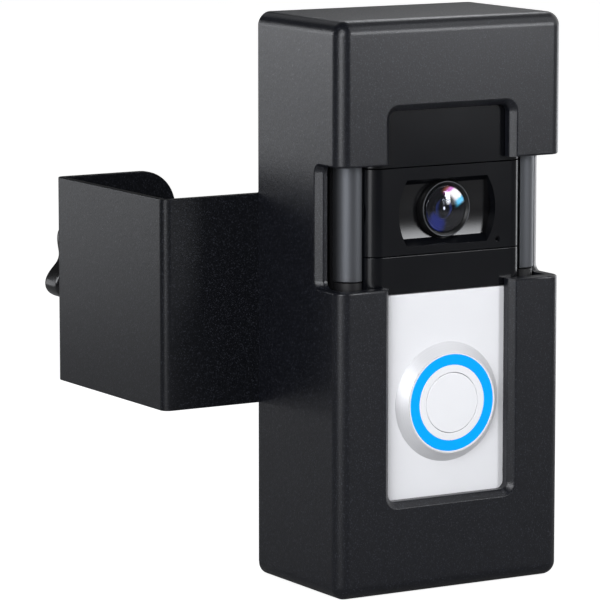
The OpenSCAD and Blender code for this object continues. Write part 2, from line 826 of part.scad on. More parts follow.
module lens_rear() {
    color("#1c2340") seated() bar_y(rear_lens_r, y_iris + iris_t + 0.1, y_iris + iris_t + 3, 0, lens_z);
}

module image_sensor() {
    color("#2a3a34") seated()
        block(-3.6, 3.6, y_sensor_board - 1, y_sensor_board, lens_z - 2.8, lens_z + 2.8);
}

module camera_board() {
    color("#1d4a2c") seated()
        block(-15, 15, y_sensor_board, y_sensor_board + 1, lens_z - 10, lens_z + drum_r + 5);
}

module night_leds() {
    color("#3c3440") seated() for (x = [-16.5, -5.5, 5.5, 16.5])
        block(x - 1.8, x + 1.8, y_frame - 2, y_frame, 43.5, 46.5);
}

module motion_sensors() {
    color("#a9acb0") seated() for (s = [-1, 1])
        bar_y(4, y_frame - 3.2, y_frame, s * 11, (screen_low + seam_low) / 2);
}

module microphone() {
    color("#b8b09a") seated() bar_y(mic_r, y_head + skin_t, y_head + skin_t + 1.6, mic_x, mic_z);
}

module faceplate() {
    color("#dfe0e4") seated() difference() {
        union() {
            front_shell(bell_w, plate_r, -bell_h / 2, plate_top);
            along_z(plate_top - skin_t, plate_top) front_section(bell_w, y_head, y_frame, plate_r);
            block(-5, 5, y_frame - 5.6, y_frame, -bell_h / 2 + 0.5, -bell_h / 2 + 3.2);
        }
        bar_y(stem_r + fit_gap, y_head - 1, y_head + 4, 0, z_button);
        bar_z(1.4, -bell_h / 2 - 1, -bell_h / 2 + 4, 0, y_frame - 2.4);
        bar_z(2.3, -bell_h / 2 - 1, -bell_h / 2 + 1.6, 0, y_frame - 2.4);
    }
}

module faceplate_screw() {
    color("#9ea1a5") seated() difference() {
        union() {
            bar_z(2.1, -bell_h / 2 + 0.2, -bell_h / 2 + 1.6, 0, y_frame - 2.4);
            bar_z(1.2, -bell_h / 2 + 1.6, -bell_h / 2 + 3.4 + lug_l, 0, y_frame - 2.4);
        }
        translate([0, y_frame - 2.4, -bell_h / 2]) cylinder(h = 1, r = 1, $fn = 6);
    }
}

module button_bezel() {
    color("#d5d7db") seated() difference() {
        union() {
            translate([0, y_head, z_button]) rotate([90, 0, 0])
                cylinder(h = cone_h, r1 = cone_r, r2 = cone_top_r);
            bar_y(stem_r, y_head, y_board, 0, z_button);
        }
        bar_y(light_r + trim_w, y_cone - 1, y_board + 1, 0, z_button);
    }
}

module light_ring() {
    color("#00a3ff") seated() ring_y(light_r, light_in, y_cone, y_light_back, 0, z_button);
}

module ring_trims() {
    color("#f4f6f8") seated() {
        ring_y(light_r + trim_w - hair_gap, light_r + hair_gap, y_cone, y_board, 0, z_button);
        ring_y(light_in - hair_gap, white_in, y_cone, y_lip - fit_gap, 0, z_button);
    }
}

module button_cap() {
    color("#eceef0") seated() union() {
        bar_y(cap_r, y_cone, y_cone + cap_t, 0, z_button);
        ring_y(cap_r, cap_r - skirt_t, y_cone + cap_t - 0.5, y_lip + lip_t, 0, z_button);
        // lip that keeps the cap behind the white ring
        ring_y(cap_r + lip_w, cap_r - skirt_t, y_lip, y_lip + lip_t, 0, z_button);
        bar_y(2.4, y_cone + cap_t - 0.5, y_cap_stem, 0, z_button);
    }
}

module button_spring() {
    color("#b0b3b7") seated()
        ring_y(spring_r, spring_r - spring_t, y_spring, y_board, 0, z_button);
}

module button_board() {
    color("#1f5130") seated() bar_y(stem_r - 0.05, y_board, y_board + board_t, 0, z_button);
}

module ring_leds() {
    mid_r = (light_r + light_in) / 2;
    color("#e8e4c8") seated() for (i = [0 : 11])
        translate([0, y_board - led_t, z_button]) rotate([0, i * 30, 0])
            translate([mid_r - led_w / 2, 0, -led_w / 2]) cube([led_w, led_t, led_w]);
}

module tact_switch() {
    color("#2b2b2d") seated() {
        block(-3, 3, y_board - switch_t, y_board, z_button - 3, z_button + 3);
        bar_y(1.7, y_plunger, y_board - switch_t + 0.3, 0, z_button);
    }
}

// ---------- doorbell: inside ----------

module main_board() {
    color("#1d4a2c") seated()
        block(-board_w / 2, board_w / 2, y_main - board_t, y_main, battery_top + 4, board_top);
}

module board_chips() {
    y = y_main - board_t;
    color("#232325") seated() {
        block(-17, -7, y - 1.2, y, 40, 50);
        block(-20, -13, y - 1, y, 22, 29);
        // switch under the pairing button
        block(21, case_w / 2 - case_wall - 1.5 - setup_travel, y - 2, y, setup_z - 2.5, setup_z + 2.5);
    }
}

module shield_can() {
    color("#c2c4c8") seated() block(-2, 18, y_main - board_t - 2.2, y_main - board_t, 38, 52);
}

module speaker() {
    color("#38383a") seated()
        bar_z(speaker_r, z_floor + gasket_t, z_floor + gasket_t + speaker_h, 0, speaker_y);
}

module speaker_gasket() {
    color("#5a5a5c") seated() difference() {
        bar_z(speaker_r, z_floor, z_floor + gasket_t, 0, speaker_y);
        bar_z(speaker_r - 1.3, z_floor - 1, z_floor + gasket_t + 1, 0, speaker_y);
    }
}

module battery_pack() {
    color("#2f3133") seated() along_y(y_seal + loose_gap, y_inside - 0.6)
        translate([0, battery_top - battery_h / 2]) round_rect(battery_w, battery_h, 3);
}

module battery_contacts() {
    color("#cfae57") seated() for (x = [-5, 0, 5])
        block(x - 0.8, x + 0.8, y_main - board_t - 1, y_main - board_t, battery_top, battery_top + 7);
}

security_cover();
arm_bracket();
cover_screws();
cover_nuts();
door_pads();
edge_pad();
clamp_nut();
clamp_spindle();
clamp_knob();
knob_cap();
pressure_plate();
pressure_pad();
spindle_clip();
side_cushions();
end_cushions();
backing_foam();
wall_plate();
wall_plate_screws();
rear_case();
case_seal();
mid_frame();
case_screws();
side_rails();
upper_fascia();
camera_bezel();
motion_window();
camera_drum();
lens_barrel();
lens_ring();
lens_front();
lens_iris();
lens_rear();
image_sensor();
camera_board();
night_leds();
motion_sensors();
microphone();
main_board();
board_chips();
shield_can();
speaker();
speaker_gasket();
faceplate();
faceplate_screw();
button_bezel();
light_ring();
ring_trims();
button_cap();
button_spring();
button_board();
ring_leds();
tact_switch();
battery_pack();
battery_contacts();
terminal_screws();
setup_button();
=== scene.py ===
import logging
import math
from dataclasses import dataclass
from enum import Enum
from functools import lru_cache
from typing import Callable, Iterable, Sequence

import bmesh
import bpy
from mathutils import Matrix, Vector


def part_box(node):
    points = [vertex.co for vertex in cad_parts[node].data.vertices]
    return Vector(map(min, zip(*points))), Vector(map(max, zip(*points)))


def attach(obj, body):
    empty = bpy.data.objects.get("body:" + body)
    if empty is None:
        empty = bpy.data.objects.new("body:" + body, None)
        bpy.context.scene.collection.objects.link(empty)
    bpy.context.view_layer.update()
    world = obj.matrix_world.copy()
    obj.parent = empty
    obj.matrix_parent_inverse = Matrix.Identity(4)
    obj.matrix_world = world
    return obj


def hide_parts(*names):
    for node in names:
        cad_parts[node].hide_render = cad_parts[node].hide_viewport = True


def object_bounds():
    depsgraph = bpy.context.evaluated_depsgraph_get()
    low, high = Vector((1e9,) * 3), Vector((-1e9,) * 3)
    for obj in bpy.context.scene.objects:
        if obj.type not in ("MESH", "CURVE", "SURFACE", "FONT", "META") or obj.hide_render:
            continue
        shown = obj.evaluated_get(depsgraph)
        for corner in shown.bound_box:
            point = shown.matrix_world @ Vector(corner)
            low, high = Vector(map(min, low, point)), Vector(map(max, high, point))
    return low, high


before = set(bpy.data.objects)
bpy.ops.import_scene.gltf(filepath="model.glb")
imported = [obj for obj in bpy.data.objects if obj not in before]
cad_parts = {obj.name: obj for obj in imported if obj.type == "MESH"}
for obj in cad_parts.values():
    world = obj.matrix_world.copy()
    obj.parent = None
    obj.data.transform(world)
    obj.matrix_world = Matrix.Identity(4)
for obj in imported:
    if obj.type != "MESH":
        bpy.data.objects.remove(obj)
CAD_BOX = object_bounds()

# Video doorbell in an anti-theft door mount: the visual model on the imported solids.
# Sizes in the classes are millimetres; meshes are made in metres.

MM = 0.001
QUARTER = math.pi / 2
Piece = bpy.types.Object
Material = bpy.types.Material
Socket = bpy.types.NodeSocket
Colour = tuple[float, float, float, float]
Triple = tuple[float, float, float]
Pair = tuple[float, float]
Ring = tuple[float, float, bool]
WHITE: Colour = (1.0, 1.0, 1.0, 1.0)
log = logging.getLogger("doorbell")


class Axis(Enum):
    """Direction that a turned or extruded piece follows."""

    X = 0
    Y = 1
    Z = 2


class Edge(Enum):
    """How far a piece's sharp edges are rounded, in millimetres."""

    CRISP = 0.08
    MOULDED = 0.18
    PRESSED = 0.3
    SOFT = 0.5


def colour(code: str, factor: float = 1.0, lift: float = 0.0) -> Colour:
    """Turns a written colour into linear values.

    Args:
        code: Six hexadecimal digits after a hash sign.
        factor: What each channel is multiplied by.
        lift: What is added to it then.

    Returns:
        Red, green, blue and alpha.
    """
    parts = [int(code[i:i + 2], 16) / 255 for i in (1, 3, 5)]
    linear = [c / 12.92 if c < 0.04045 else ((c + 0.055) / 1.055) ** 2.4 for c in parts]
    return (*(c * factor + lift for c in linear), 1.0)


# ---------------------------------------------------------------- shader maths


def add_node(tree: bpy.types.NodeTree, kind: str, settings: dict | None, sockets: dict | None,
             output: int | str) -> Socket:
    """Adds a node to a tree.

    Args:
        tree: The tree.
        kind: The node's type.
        settings: Attributes, set first.
        sockets: What goes on its inputs, by name or place.
        output: Name or place of an output.

    Returns:
        That output.
    """
    made = tree.nodes.new(kind)
    for key, setting in (settings or {}).items():
        setattr(made, key, setting)
    for key, given in (sockets or {}).items():
        source = given.socket if isinstance(given, Value) else given
        if isinstance(source, Socket):
            tree.links.new(source, made.inputs[key])
        else:
            made.inputs[key].default_value = source
    return made.outputs[output]


def operator(operation: str, reflected: bool = False) -> Callable[["Value", "Value | float"], "Value"]:
    """Makes an arithmetic operator of Value, or its reflected form."""

    def combined(self: "Value", other: "Value | float") -> "Value":
        """Adds one Math node."""
        terms = (other, self) if reflected else (self, other)
        return self.shader.node("Math", {"operation": operation}, dict(enumerate(terms)))

    return combined


class Value:
    """A shader socket that Python operators combine."""

    def __init__(self, shader: "Shader", socket: Socket) -> None:
        """Keeps the socket and the shader that it belongs to."""
        self.shader, self.socket = shader, socket

    __add__ = __radd__ = operator("ADD")
    __mul__ = __rmul__ = operator("MULTIPLY")
    __sub__, __rsub__ = operator("SUBTRACT"), operator("SUBTRACT", True)
    __truediv__, __rtruediv__ = operator("DIVIDE"), operator("DIVIDE", True)

    def above(self, edge: float, soft: float) -> "Value":
        """A smooth step from 0 to 1 of this width, half way at the edge."""
        limits = {"From Min": edge - soft / 2, "From Max": edge + soft / 2, "Value": self}
        return self.shader.node("MapRange", {"interpolation_type": "SMOOTHSTEP"}, limits)


class Shader:
    """The nodes of one material or world, written as expressions."""

    def __init__(self, name: str, home: str = "materials") -> None:
        """Makes an empty material, or a world where home says worlds."""
        self.made = getattr(bpy.data, home).new(name)
        self.made.use_nodes = True
        self.tree = self.made.node_tree
        self.tree.nodes.clear()

    def node(self, kind: str, settings: dict | None = None, sockets: dict | None = None,
             output: int | str = 0) -> Value:
        """Adds a node as add_node does, and gives its output as a value."""
        return Value(self, add_node(self.tree, f"ShaderNode{kind}", settings, sockets, output))

    def place(self, scale: Triple = (1, 1, 1), centre: Triple = (0, 0, 0)) -> Value:
        """Object coordinates, stretched about a centre.

        Args:
            scale: Factor along each axis.
            centre: Point in metres that becomes the origin.

        Returns:
            The vector.
        """
        where = self.node("TexCoord", output="Object")
        shift = tuple(-c * s for c, s in zip(centre, scale))
        return self.node("Mapping", sockets={"Vector": where, "Scale": scale, "Location": shift})

    def axis(self, vector: Value, which: Axis) -> Value:
        """One coordinate of a vector."""
        return self.node("SeparateXYZ", sockets={0: vector}, output=which.value)

    def length(self, vector: Value, weights: Triple) -> Value:
        """Length of a vector whose coordinates are weighted first."""
        weighted = self.node("VectorMath", {"operation": "MULTIPLY"}, {0: vector, 1: weights})
        return self.node("VectorMath", {"operation": "LENGTH"}, {0: weighted}, "Value")

    def noise(self, per_metre: float, detail: float = 2.0, vector: Value | None = None) -> Value:
        """Noise between 0 and 1 with this many waves a metre."""
        return self.node("TexNoise", sockets={
            "Vector": vector or self.place(), "Scale": per_metre, "Detail": detail, "Roughness": 0.55})

    def cells(self, per_metre: float) -> Value:
        """Distance to the cells of a Voronoi pattern."""
        return self.node("TexVoronoi", sockets={
            "Vector": self.place(), "Scale": per_metre}, output="Distance")

    def mix(self, amount: Value, low: Value | Colour, high: Value | Colour) -> Value:
        """Mixes two colours by an amount from 0 to 1."""
        return self.node("Mix", {"data_type": "RGBA"}, {0: amount, 6: low, 7: high}, 2)

    def relief(self, height: Value, strength: float, depth: float) -> Value:
        """Bends the normal by a pattern, at a strength and a real height in millimetres."""
        return self.node("Bump", sockets={
            "Height": height, "Strength": strength, "Distance": depth * MM})

    def end(self, kind: str, surface: Value) -> Material | bpy.types.World:
        """Links a surface to an output node and gives what was made."""
        out = self.tree.nodes.new(f"ShaderNodeOutput{kind}")
        self.tree.links.new(surface.socket, out.inputs["Surface"])
        return self.made

    def close(self, **sockets: "Value | float | Colour") -> Material:
        """Ends the material in a Principled shader, with _ for a space in its inputs' names."""
        named = {key.replace("_", " "): given for key, given in sockets.items()}
        return self.end("Material", self.node("BsdfPrincipled", sockets=named))


# ---------------------------------------------------------------- finishes


@dataclass(frozen=True)
class Finish:
    """A finish of the record's material slot of the same name."""

    slot: str
    shade: str

    def make(self, shader: Shader) -> Material:
        """Writes the finish into a shader."""
        raise NotImplementedError


@lru_cache(maxsize=None)
def material_of(finish: Finish) -> Material:
    """The one material of a finish."""
    return finish.make(Shader(f"{type(finish).__name__}_{finish.slot}_{finish.shade[1:]}"))


@dataclass(frozen=True)
class PowderCoat(Finish):
    """Black powder coat with a fine orange-peel grain."""

    light: str
    rough: float = 0.33
    gloss: float = 0.5
    speckle: str = "#3c3e46"

    def make(self, shader: Shader) -> Material:
        """Grain in the relief, small speckles in the colour."""
        grain = shader.noise(2300, 3)
        peel = shader.noise(900, 2)
        speckle = shader.noise(2900, 1).above(0.64, 0.12)
        base = shader.mix(peel, colour(self.shade), colour(self.light))
        base = shader.mix(speckle * 0.55, base, colour(self.speckle))
        return shader.close(Base_Color=base, Roughness=self.rough + grain * 0.24 - 0.12,
                            Specular_IOR_Level=self.gloss,
                            Normal=shader.relief(grain * 0.7 + peel * 0.3, 0.5, 0.07))


@dataclass(frozen=True)
class Moulded(Finish):
    """Injection-moulded plastic with a faint spark-eroded grain."""

    rough: float = 0.35
    grain: float = 0.12
    coat: float = 0.0
    gloss: float = 0.5

    def make(self, shader: Shader) -> Material:
        """Even colour with a slow drift, grain in the relief."""
        drift = shader.noise(60, 2)
        grain = shader.noise(4200, 2)
        base = shader.mix(drift * 0.5 + grain * 0.18, colour(self.shade), colour(self.shade, 1.12, 0.002))
        return shader.close(Base_Color=base, Roughness=self.rough + drift * 0.05 - 0.02,
                            Coat_Weight=self.coat, Coat_Roughness=0.06, Specular_IOR_Level=self.gloss,
                            Normal=shader.relief(grain, self.grain, 0.02))


@dataclass(frozen=True)
class BrushedMetal(Finish):
    """Metal with fine lines along one axis."""

    along: Axis = Axis.Z
    rough: float = 0.25
    depth: float = 0.12

    def make(self, shader: Shader) -> Material:
        """Stretched noise for the lines, slow drift for the handling marks."""
        scale = tuple(0.03 if axis is self.along else 1.0 for axis in Axis)
        lines = shader.noise(5200, 3, shader.place(scale))
        drift = shader.noise(70, 2)
        base = shader.mix(lines * 0.7 + drift * 0.3, colour(self.shade, 0.86), colour(self.shade))
        return shader.close(Base_Color=base, Metallic=1.0,
                            Roughness=self.rough + lines * 0.1 + drift * 0.04 - 0.07,
                            Normal=shader.relief(lines, self.depth, 0.01))


@dataclass(frozen=True)
class SpunMetal(Finish):
    """Satin metal with rings about an axis along Y."""

    centre: Pair
    rough: float = 0.3
    metal: float = 1.0

    def make(self, shader: Shader) -> Material:
        """Rings from the distance to the axis."""
        x, z = self.centre
        reach = shader.length(shader.place(centre=(x * MM, 0, z * MM)), (1, 0, 1))
        rings = shader.node("TexNoise", {"noise_dimensions": "1D"}, {
            "W": reach, "Scale": 9000.0, "Detail": 2.0})
        grain = shader.noise(3600, 2)
        base = shader.mix(rings, colour(self.shade, 0.88), colour(self.shade))
        return shader.close(Base_Color=base, Metallic=self.metal, Roughness=self.rough + rings * 0.08 - 0.04,
                            Normal=shader.relief(rings * 0.7 + grain * 0.3, 0.06, 0.01))


@dataclass(frozen=True)
class ZincPlate(Finish):
    """Zinc-plated steel with a faint cloud of grey."""

    rough: float = 0.3

    def make(self, shader: Shader) -> Material:
        """Clouds in colour and gloss."""
        cloud = shader.noise(420, 4)
        fine = shader.noise(5000, 2)
        base = shader.mix(cloud, colour(self.shade, 0.7), colour(self.shade))
        return shader.close(Base_Color=base, Metallic=1.0, Roughness=self.rough + cloud * 0.18 - 0.06,
                            Normal=shader.relief(fine, 0.12, 0.01))


@dataclass(frozen=True)
class Foam(Finish):
    """Closed-cell foam: small open cells on a dull skin."""

    per_metre: float = 1500

    def make(self, shader: Shader) -> Material:
        """Cells in the relief and darker between them."""
        cell = shader.cells(self.per_metre)
        patch = shader.noise(160, 3)
        base = shader.mix(cell * 0.9 + patch * 0.3, colour(self.shade, 1.7, 0.01), colour(self.shade))
        return shader.close(Base_Color=base, Roughness=0.9 - patch * 0.08,
                            Normal=shader.relief(1 - cell, 0.5, 0.12))


@dataclass(frozen=True)
class Rubber(Finish):
    """Black rubber with fine cross ribs in its relief."""

    def make(self, shader: Shader) -> Material:
        """A woven grip pattern of fine ribs over a matt skin."""
        ribs = shader.node("TexWave", {"wave_type": "BANDS", "bands_direction": "DIAGONAL"}, {
            "Vector": shader.place(), "Scale": 220.0, "Distortion": 0.0})
        dust = shader.noise(300, 4)
        return shader.close(Base_Color=shader.mix(dust, colour(self.shade), colour(self.shade, 1.6, 0.006)),
                            Roughness=0.66 + dust * 0.14, Normal=shader.relief(ribs, 0.25, 0.08))


@dataclass(frozen=True)
class LensGlass(Finish):
    """Clear coated glass."""

    def make(self, shader: Shader) -> Material:
        """A clear front with a trace of haze in its gloss."""
        return shader.close(Base_Color=colour(self.shade), Roughness=shader.noise(800, 2) * 0.02,
                            Transmission_Weight=1.0, IOR=1.46)


@dataclass(frozen=True)
class CoatedBowl(Finish):
    """Dark inner lens with painted reflections that glow: a coloured highlight arc like a coated lens's reflection,
    and a blue reflection low on the left.
    """

    centre: Pair
    # deep colours the painted blue reflection low on the left; bands colour the painted highlight arc from its top
    # round to its right end, changing at steps.
    deep: str = "#16246e"
    bands: tuple[str, ...] = ("#8a4a34", "#c26ab4", "#fff6f0", "#49b9dc")
    steps: tuple[Pair, ...] = ((0.17, 0.16), (0.34, 0.14), (0.76, 0.16))

    def make(self, shader: Shader) -> Material:
        """Painted reflection bands and a painted blue reflection, placed by direction and distance from the lens's
        middle.
        """
        x, z = self.centre
        where = shader.place(scale=(1000, 1000, 1000), centre=(x * MM, 0, z * MM))
        across, up = shader.axis(where, Axis.X), shader.axis(where, Axis.Z)
        # Painted blue reflection low on the left, kept out of the dark middle.
        low = self.spot(across, up, (-2.5, -3.5), 3.5)
        lid = self.spot(across, up, (0.0, 0.0), 3.6)
        # Painted highlight arc in the upper right, in the colours of a coated lens's reflection.
        way, out = (across - up + 6) / 10, across * across + up * up
        arc = out.above(15, 13) * (1 - out.above(34, 8)) * way.above(0.05, 0.2) * (1 - way.above(0.97, 0.14))
        arc = arc * (across + up).above(4.2, 2.8)
        bow: Value | Colour = colour(self.bands[0])
        for (edge, soft), band in zip(self.steps, self.bands[1:]):
            bow = shader.mix(way.above(edge, soft), bow, colour(band))
        base = shader.mix(low * 0.7, colour(self.shade), colour(self.deep))
        base = shader.mix(lid * 0.9, base, colour(self.shade))
        base = shader.mix(arc, base, bow)
        # The painted reflections glow through emission.
        return shader.close(Base_Color=base, Emission_Color=base, Emission_Strength=0.9,
                            Roughness=0.3 + low * 0.05, Specular_IOR_Level=0.02)

    def spot(self, across: Value, up: Value, middle: Pair, size: float) -> Value:
        """A soft round spot of this radius about a middle, 1 inside and 0 outside."""
        dx, dz = across - middle[0], up - middle[1]
        return 1 - ((dx * dx + dz * dz) / (size * size)).above(0.5, 0.9)


@dataclass(frozen=True)
class PupilGlass(Finish):
    """Small rear lens: dark, with a painted glint at its middle and a painted blue reflection round its edge, both
    glowing.
    """

    centre: Pair
    # edge colours the painted blue reflection round the rim; point colours the painted glint in the middle.
    edge: str = "#1a2450"
    point: str = "#f4f6ff"

    def make(self, shader: Shader) -> Material:
        """Painted glint and painted blue reflection from the distance to the lens's middle."""
        x, z = self.centre
        reach = shader.length(shader.place((1000, 1, 1000), (x * MM, 0, z * MM)), (1.3, 0, 0.8))
        # Painted blue reflection outwards and painted glint in the middle, both glowing through emission.
        base = shader.mix(reach.above(2.4, 1.4), colour(self.shade), colour(self.edge))
        base = shader.mix(1 - reach.above(0.34, 0.3), base, colour(self.point))
        return shader.close(Base_Color=base, Emission_Color=base, Emission_Strength=0.8, Roughness=0.08,
                            Specular_IOR_Level=0.1)


@dataclass(frozen=True)
class GlowRing(Finish):
    """Lit diffuser with slightly uneven light."""

    strength: float = 0.35

    def make(self, shader: Shader) -> Material:
        """Light from the colour, a little stronger over each lamp."""
        uneven = shader.noise(220, 2)
        lit = shader.mix(uneven, colour(self.shade, 0.88), colour(self.shade))
        return shader.close(Base_Color=lit, Emission_Color=lit, Emission_Strength=self.strength,
                            Roughness=0.6 + uneven * 0.05, Specular_IOR_Level=0.1)


@dataclass(frozen=True)
class CircuitBoard(Finish):
    """Solder mask with tracks under it and tinned pads."""

    tin: str = "#b9b79e"

    def make(self, shader: Shader) -> Material:
        """Tracks from a brick pattern, pads from small cells."""
        black = (0, 0, 0, 1)
        tracks = shader.node("TexBrick", {"offset": 0.5}, {
            "Vector": shader.place(), "Scale": 260.0, "Color1": black, "Color2": black,
            "Mortar": WHITE, "Mortar Size": 0.03}, "Fac")
        pads = 1 - shader.cells(420).above(0.16, 0.04)
        base = shader.mix(tracks, colour(self.shade), colour(self.shade, 1.9))
        base = shader.mix(pads, base, colour(self.tin))
        return shader.close(Base_Color=base, Metallic=pads * 0.9, Roughness=0.34 - pads * 0.08,
                            Normal=shader.relief(tracks + pads, 0.2, 0.03))


# Finishes of this doorbell and its mount
COVER_COAT = PowderCoat("powder_coat", "#090a0f", "#101219")
BRACKET_COAT = PowderCoat("powder_coat", "#08090d", "#0e1015", gloss=0.34)
SCREW_COAT = PowderCoat("black_screw", "#101113", "#1b1c1e", rough=0.34)
HEAD_BLACK = Moulded("black_gloss", "#06070b", rough=0.2, grain=0.04, gloss=0.34)
DRUM_BLACK = Moulded("drum_black", "#0a0a0c", rough=0.2, grain=0.05)
CASE_BLACK = Moulded("case_plastic", "#141416", rough=0.5, grain=0.2)
KNOB_BLACK = Moulded("knob_plastic", "#0c0c0d", rough=0.26, grain=0.03, coat=0.15)
PLATE_SILVER = Moulded("faceplate_silver", "#eeeef0", rough=0.42, grain=0.05)
WHITE_PLASTIC = Moulded("white_plastic", "#f4f4f6", rough=0.35, grain=0.03)
RAIL_SILVER = BrushedMetal("satin_silver", "#696b6f", rough=0.52)
ZINC = ZincPlate("zinc_steel", "#b9bcc0")
BRASS = ZincPlate("brass_part", "#cfae57", rough=0.26)
FOAM_DARK = Foam("foam", "#2b2b2d")
RUBBER_PAD = Rubber("rubber_pad", "#1d1d1e")
LENS_BLACK = Moulded("lens_black", "#070708", rough=0.3, grain=0.03)
LENS_CLEAR = LensGlass("lens_glass", "#f4f7ff")
BOARD_GREEN = CircuitBoard("circuit_board", "#1d4a2c")
CHIP_BLACK = Moulded("component", "#1c1c1e", rough=0.55, grain=0.25)
LED_CREAM = Moulded("led_part", "#e8e4c8", rough=0.4, grain=0.05)
WRAP_GREY = Moulded("battery_wrap", "#2f3133", rough=0.28, grain=0.04, coat=0.4)
SETUP_ORANGE = Moulded("setup_orange", "#d8702a", rough=0.4, grain=0.08)


# ---------------------------------------------------------------- meshes


def linked(name: str, data: bpy.types.ID) -> Piece:
    """Makes an object in the scene from its data."""
    made = bpy.data.objects.new(name, data)
    bpy.context.scene.collection.objects.link(made)
    return made


def mesh_of(name: str, points: Iterable[Sequence[float]], faces: Iterable[Sequence[int]] = ()) -> bpy.types.Mesh:
    """Makes a mesh from corners in millimetres and rings of corner numbers."""
    mesh = bpy.data.meshes.new(name)
    mesh.from_pydata([tuple(c * MM for c in p) for p in points], [], [tuple(f) for f in faces])
    return mesh


def mesh_object(name: str, points: Iterable[Sequence[float]], faces: Iterable[Sequence[int]]) -> Piece:
    """Makes a smooth-shaded object, with doubles merged and normals pointing outwards."""
    made = linked(name, mesh_of(name, points, faces))
    tidy(made)
    return made


def tidy(piece: Piece, flat: float = 0.0) -> None:
    """Merges doubles, joins flat neighbours and turns the normals outwards.

    Args:
        piece: The object whose own mesh is cleaned.
        flat: Angle in degrees under which neighbouring faces are joined.
    """
    bm = bmesh.new()
    bm.from_mesh(piece.data)
    bmesh.ops.remove_doubles(bm, verts=bm.verts, dist=2e-6)
    if flat:
        bmesh.ops.dissolve_limit(bm, angle_limit=math.radians(flat), verts=bm.verts, edges=bm.edges)
    bmesh.ops.recalc_face_normals(bm, faces=bm.faces)
    for face in bm.faces:
        face.smooth = True
    bm.to_mesh(piece.data)
    bm.free()


def settled(piece: Piece) -> Piece:
    """Turns a piece with modifiers into a plain mesh."""
    bpy.context.view_layer.update()
    result = bpy.data.meshes.new_from_object(piece.evaluated_get(bpy.context.evaluated_depsgraph_get()))
    piece.modifiers.clear()
    piece.data = result
    return piece


def shaded(piece: Piece, weight: int = 50, keep_sharp: bool = False) -> Piece:
    """Adds the modifier that keeps broad faces flat in their shading, and settles the piece."""
    normals = piece.modifiers.new("Shading", "WEIGHTED_NORMAL")
    normals.weight, normals.keep_sharp = weight, keep_sharp
    return settled(piece)


def rounded(piece: Piece, edge: Edge, segments: int = 3, angle: float = 28) -> Piece:
    """Rounds the sharp edges.

    Args:
        piece: The object.
        edge: How far.
        segments: Steps across each rounding.
        angle: Edges sharper than this are rounded, in degrees.

    Returns:
        The same object with a plain mesh.
    """
    bevel = piece.modifiers.new("Rounding", "BEVEL")
    bevel.width, bevel.segments = edge.value * MM, segments
    bevel.limit_method, bevel.angle_limit = "ANGLE", math.radians(angle)
    bevel.use_clamp_overlap, bevel.miter_outer = True, "MITER_ARC"
    return shaded(piece, 60)


def from_solid(node: str, edge: Edge) -> Piece:
    """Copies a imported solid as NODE_skin, joins its triangles and rounds its edges."""
    made = linked(f"{node}_skin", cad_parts[node].data.copy())
    made.data.materials.clear()
    tidy(made, flat=0.4)
    return rounded(made, edge)


def span(node: str) -> list[float]:
    """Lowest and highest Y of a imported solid, in millimetres."""
    return [corner.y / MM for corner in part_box(node)]


def filleted(profile: Sequence[Pair], radius: float, steps: int = 4) -> list[Pair]:
    """Rounds the inner corners of a profile.

    Args:
        profile: Points of an open line.
        radius: Wanted rounding in millimetres, less where a side is short.
        steps: Points on each rounding.

    Returns:
        The longer line.
    """
    line = [profile[0]]
    for before, at, after in zip(profile, profile[1:], profile[2:]):
        a, p, b = Vector(before), Vector(at), Vector(after)
        reach = min(radius, (a - p).length * 0.45, (b - p).length * 0.45)
        start, end = p + (a - p).normalized() * reach, p + (b - p).normalized() * reach
        for k in range(steps + 1):
            t = k / steps
            line.append(tuple(start * (1 - t) ** 2 + p * 2 * t * (1 - t) + end * t * t))
    return line + [profile[-1]]


def strips(rows: int, count: int, closed: bool = False) -> list[tuple[int, ...]]:
    """Faces between rings of points.

    Args:
        rows: How many rings follow each other.
        count: Points on each.
        closed: Whether the last ring joins the first.

    Returns:
        The faces, ring by ring.
    """
    pairs = [(i * count, (i + 1) % rows * count) for i in range(rows if closed else rows - 1)]
    return [(a + k, a + (k + 1) % count, b + (k + 1) % count, b + k) for a, b in pairs for k in range(count)]


def along_y(centre: Pair) -> Callable[[float, float, float], Triple]:
    """Gives what puts two coordinates and a height about an axis along Y."""
    return lambda u, v, y: (centre[0] + u, y, centre[1] + v)


def spun(name: str, rings: Sequence[Ring], steps: int, put: Callable[[float, float, float], Triple],
         shape: Callable[[float, float], float] | None = None, closed: bool = False) -> Piece:
    """Joins rings about an axis.

    Args:
        name: The piece's name.
        rings: Each ring's size, height, and whether it follows the shape.
        steps: Faces round the axis.
        put: Point from two coordinates across the axis and a height.
        shape: Radius of a ring that follows it, from the ring's size and the angle.
        closed: Whether the last ring joins the first.

    Returns:
        The piece.
    """
    points = []
    for size, height, follows in rings:
        for k in range(steps):
            a = 2 * math.pi * k / steps
            r = shape(size, a) if follows else size
            points.append(put(r * math.cos(a), r * math.sin(a), height))
    return mesh_object(name, points, strips(len(rings), steps, closed))


def turned(name: str, profile: Sequence[Pair], centre: Pair, edge: float = 0.12, steps: int = 96) -> Piece:
    """Turns a profile about an axis along Y.

    Args:
        name: The piece's name.
        profile: (radius, y) pairs; a ring's profile ends where it starts.
        centre: x and z of the axis.
        edge: Rounding of the profile's corners.
        steps: Faces round the axis.

    Returns:
        The piece, with flat faces that shade flat.
    """
    closed = profile[0] == profile[-1]
    if closed:
        middle = tuple((a + b) / 2 for a, b in zip(profile[0], profile[1]))
        profile = [middle, *profile[1:], middle]
    line = filleted(profile, edge)
    rings = [(r, y, False) for r, y in (line[:-1] if closed else line)]
    return shaded(spun(name, rings, steps, along_y(centre), closed=closed))


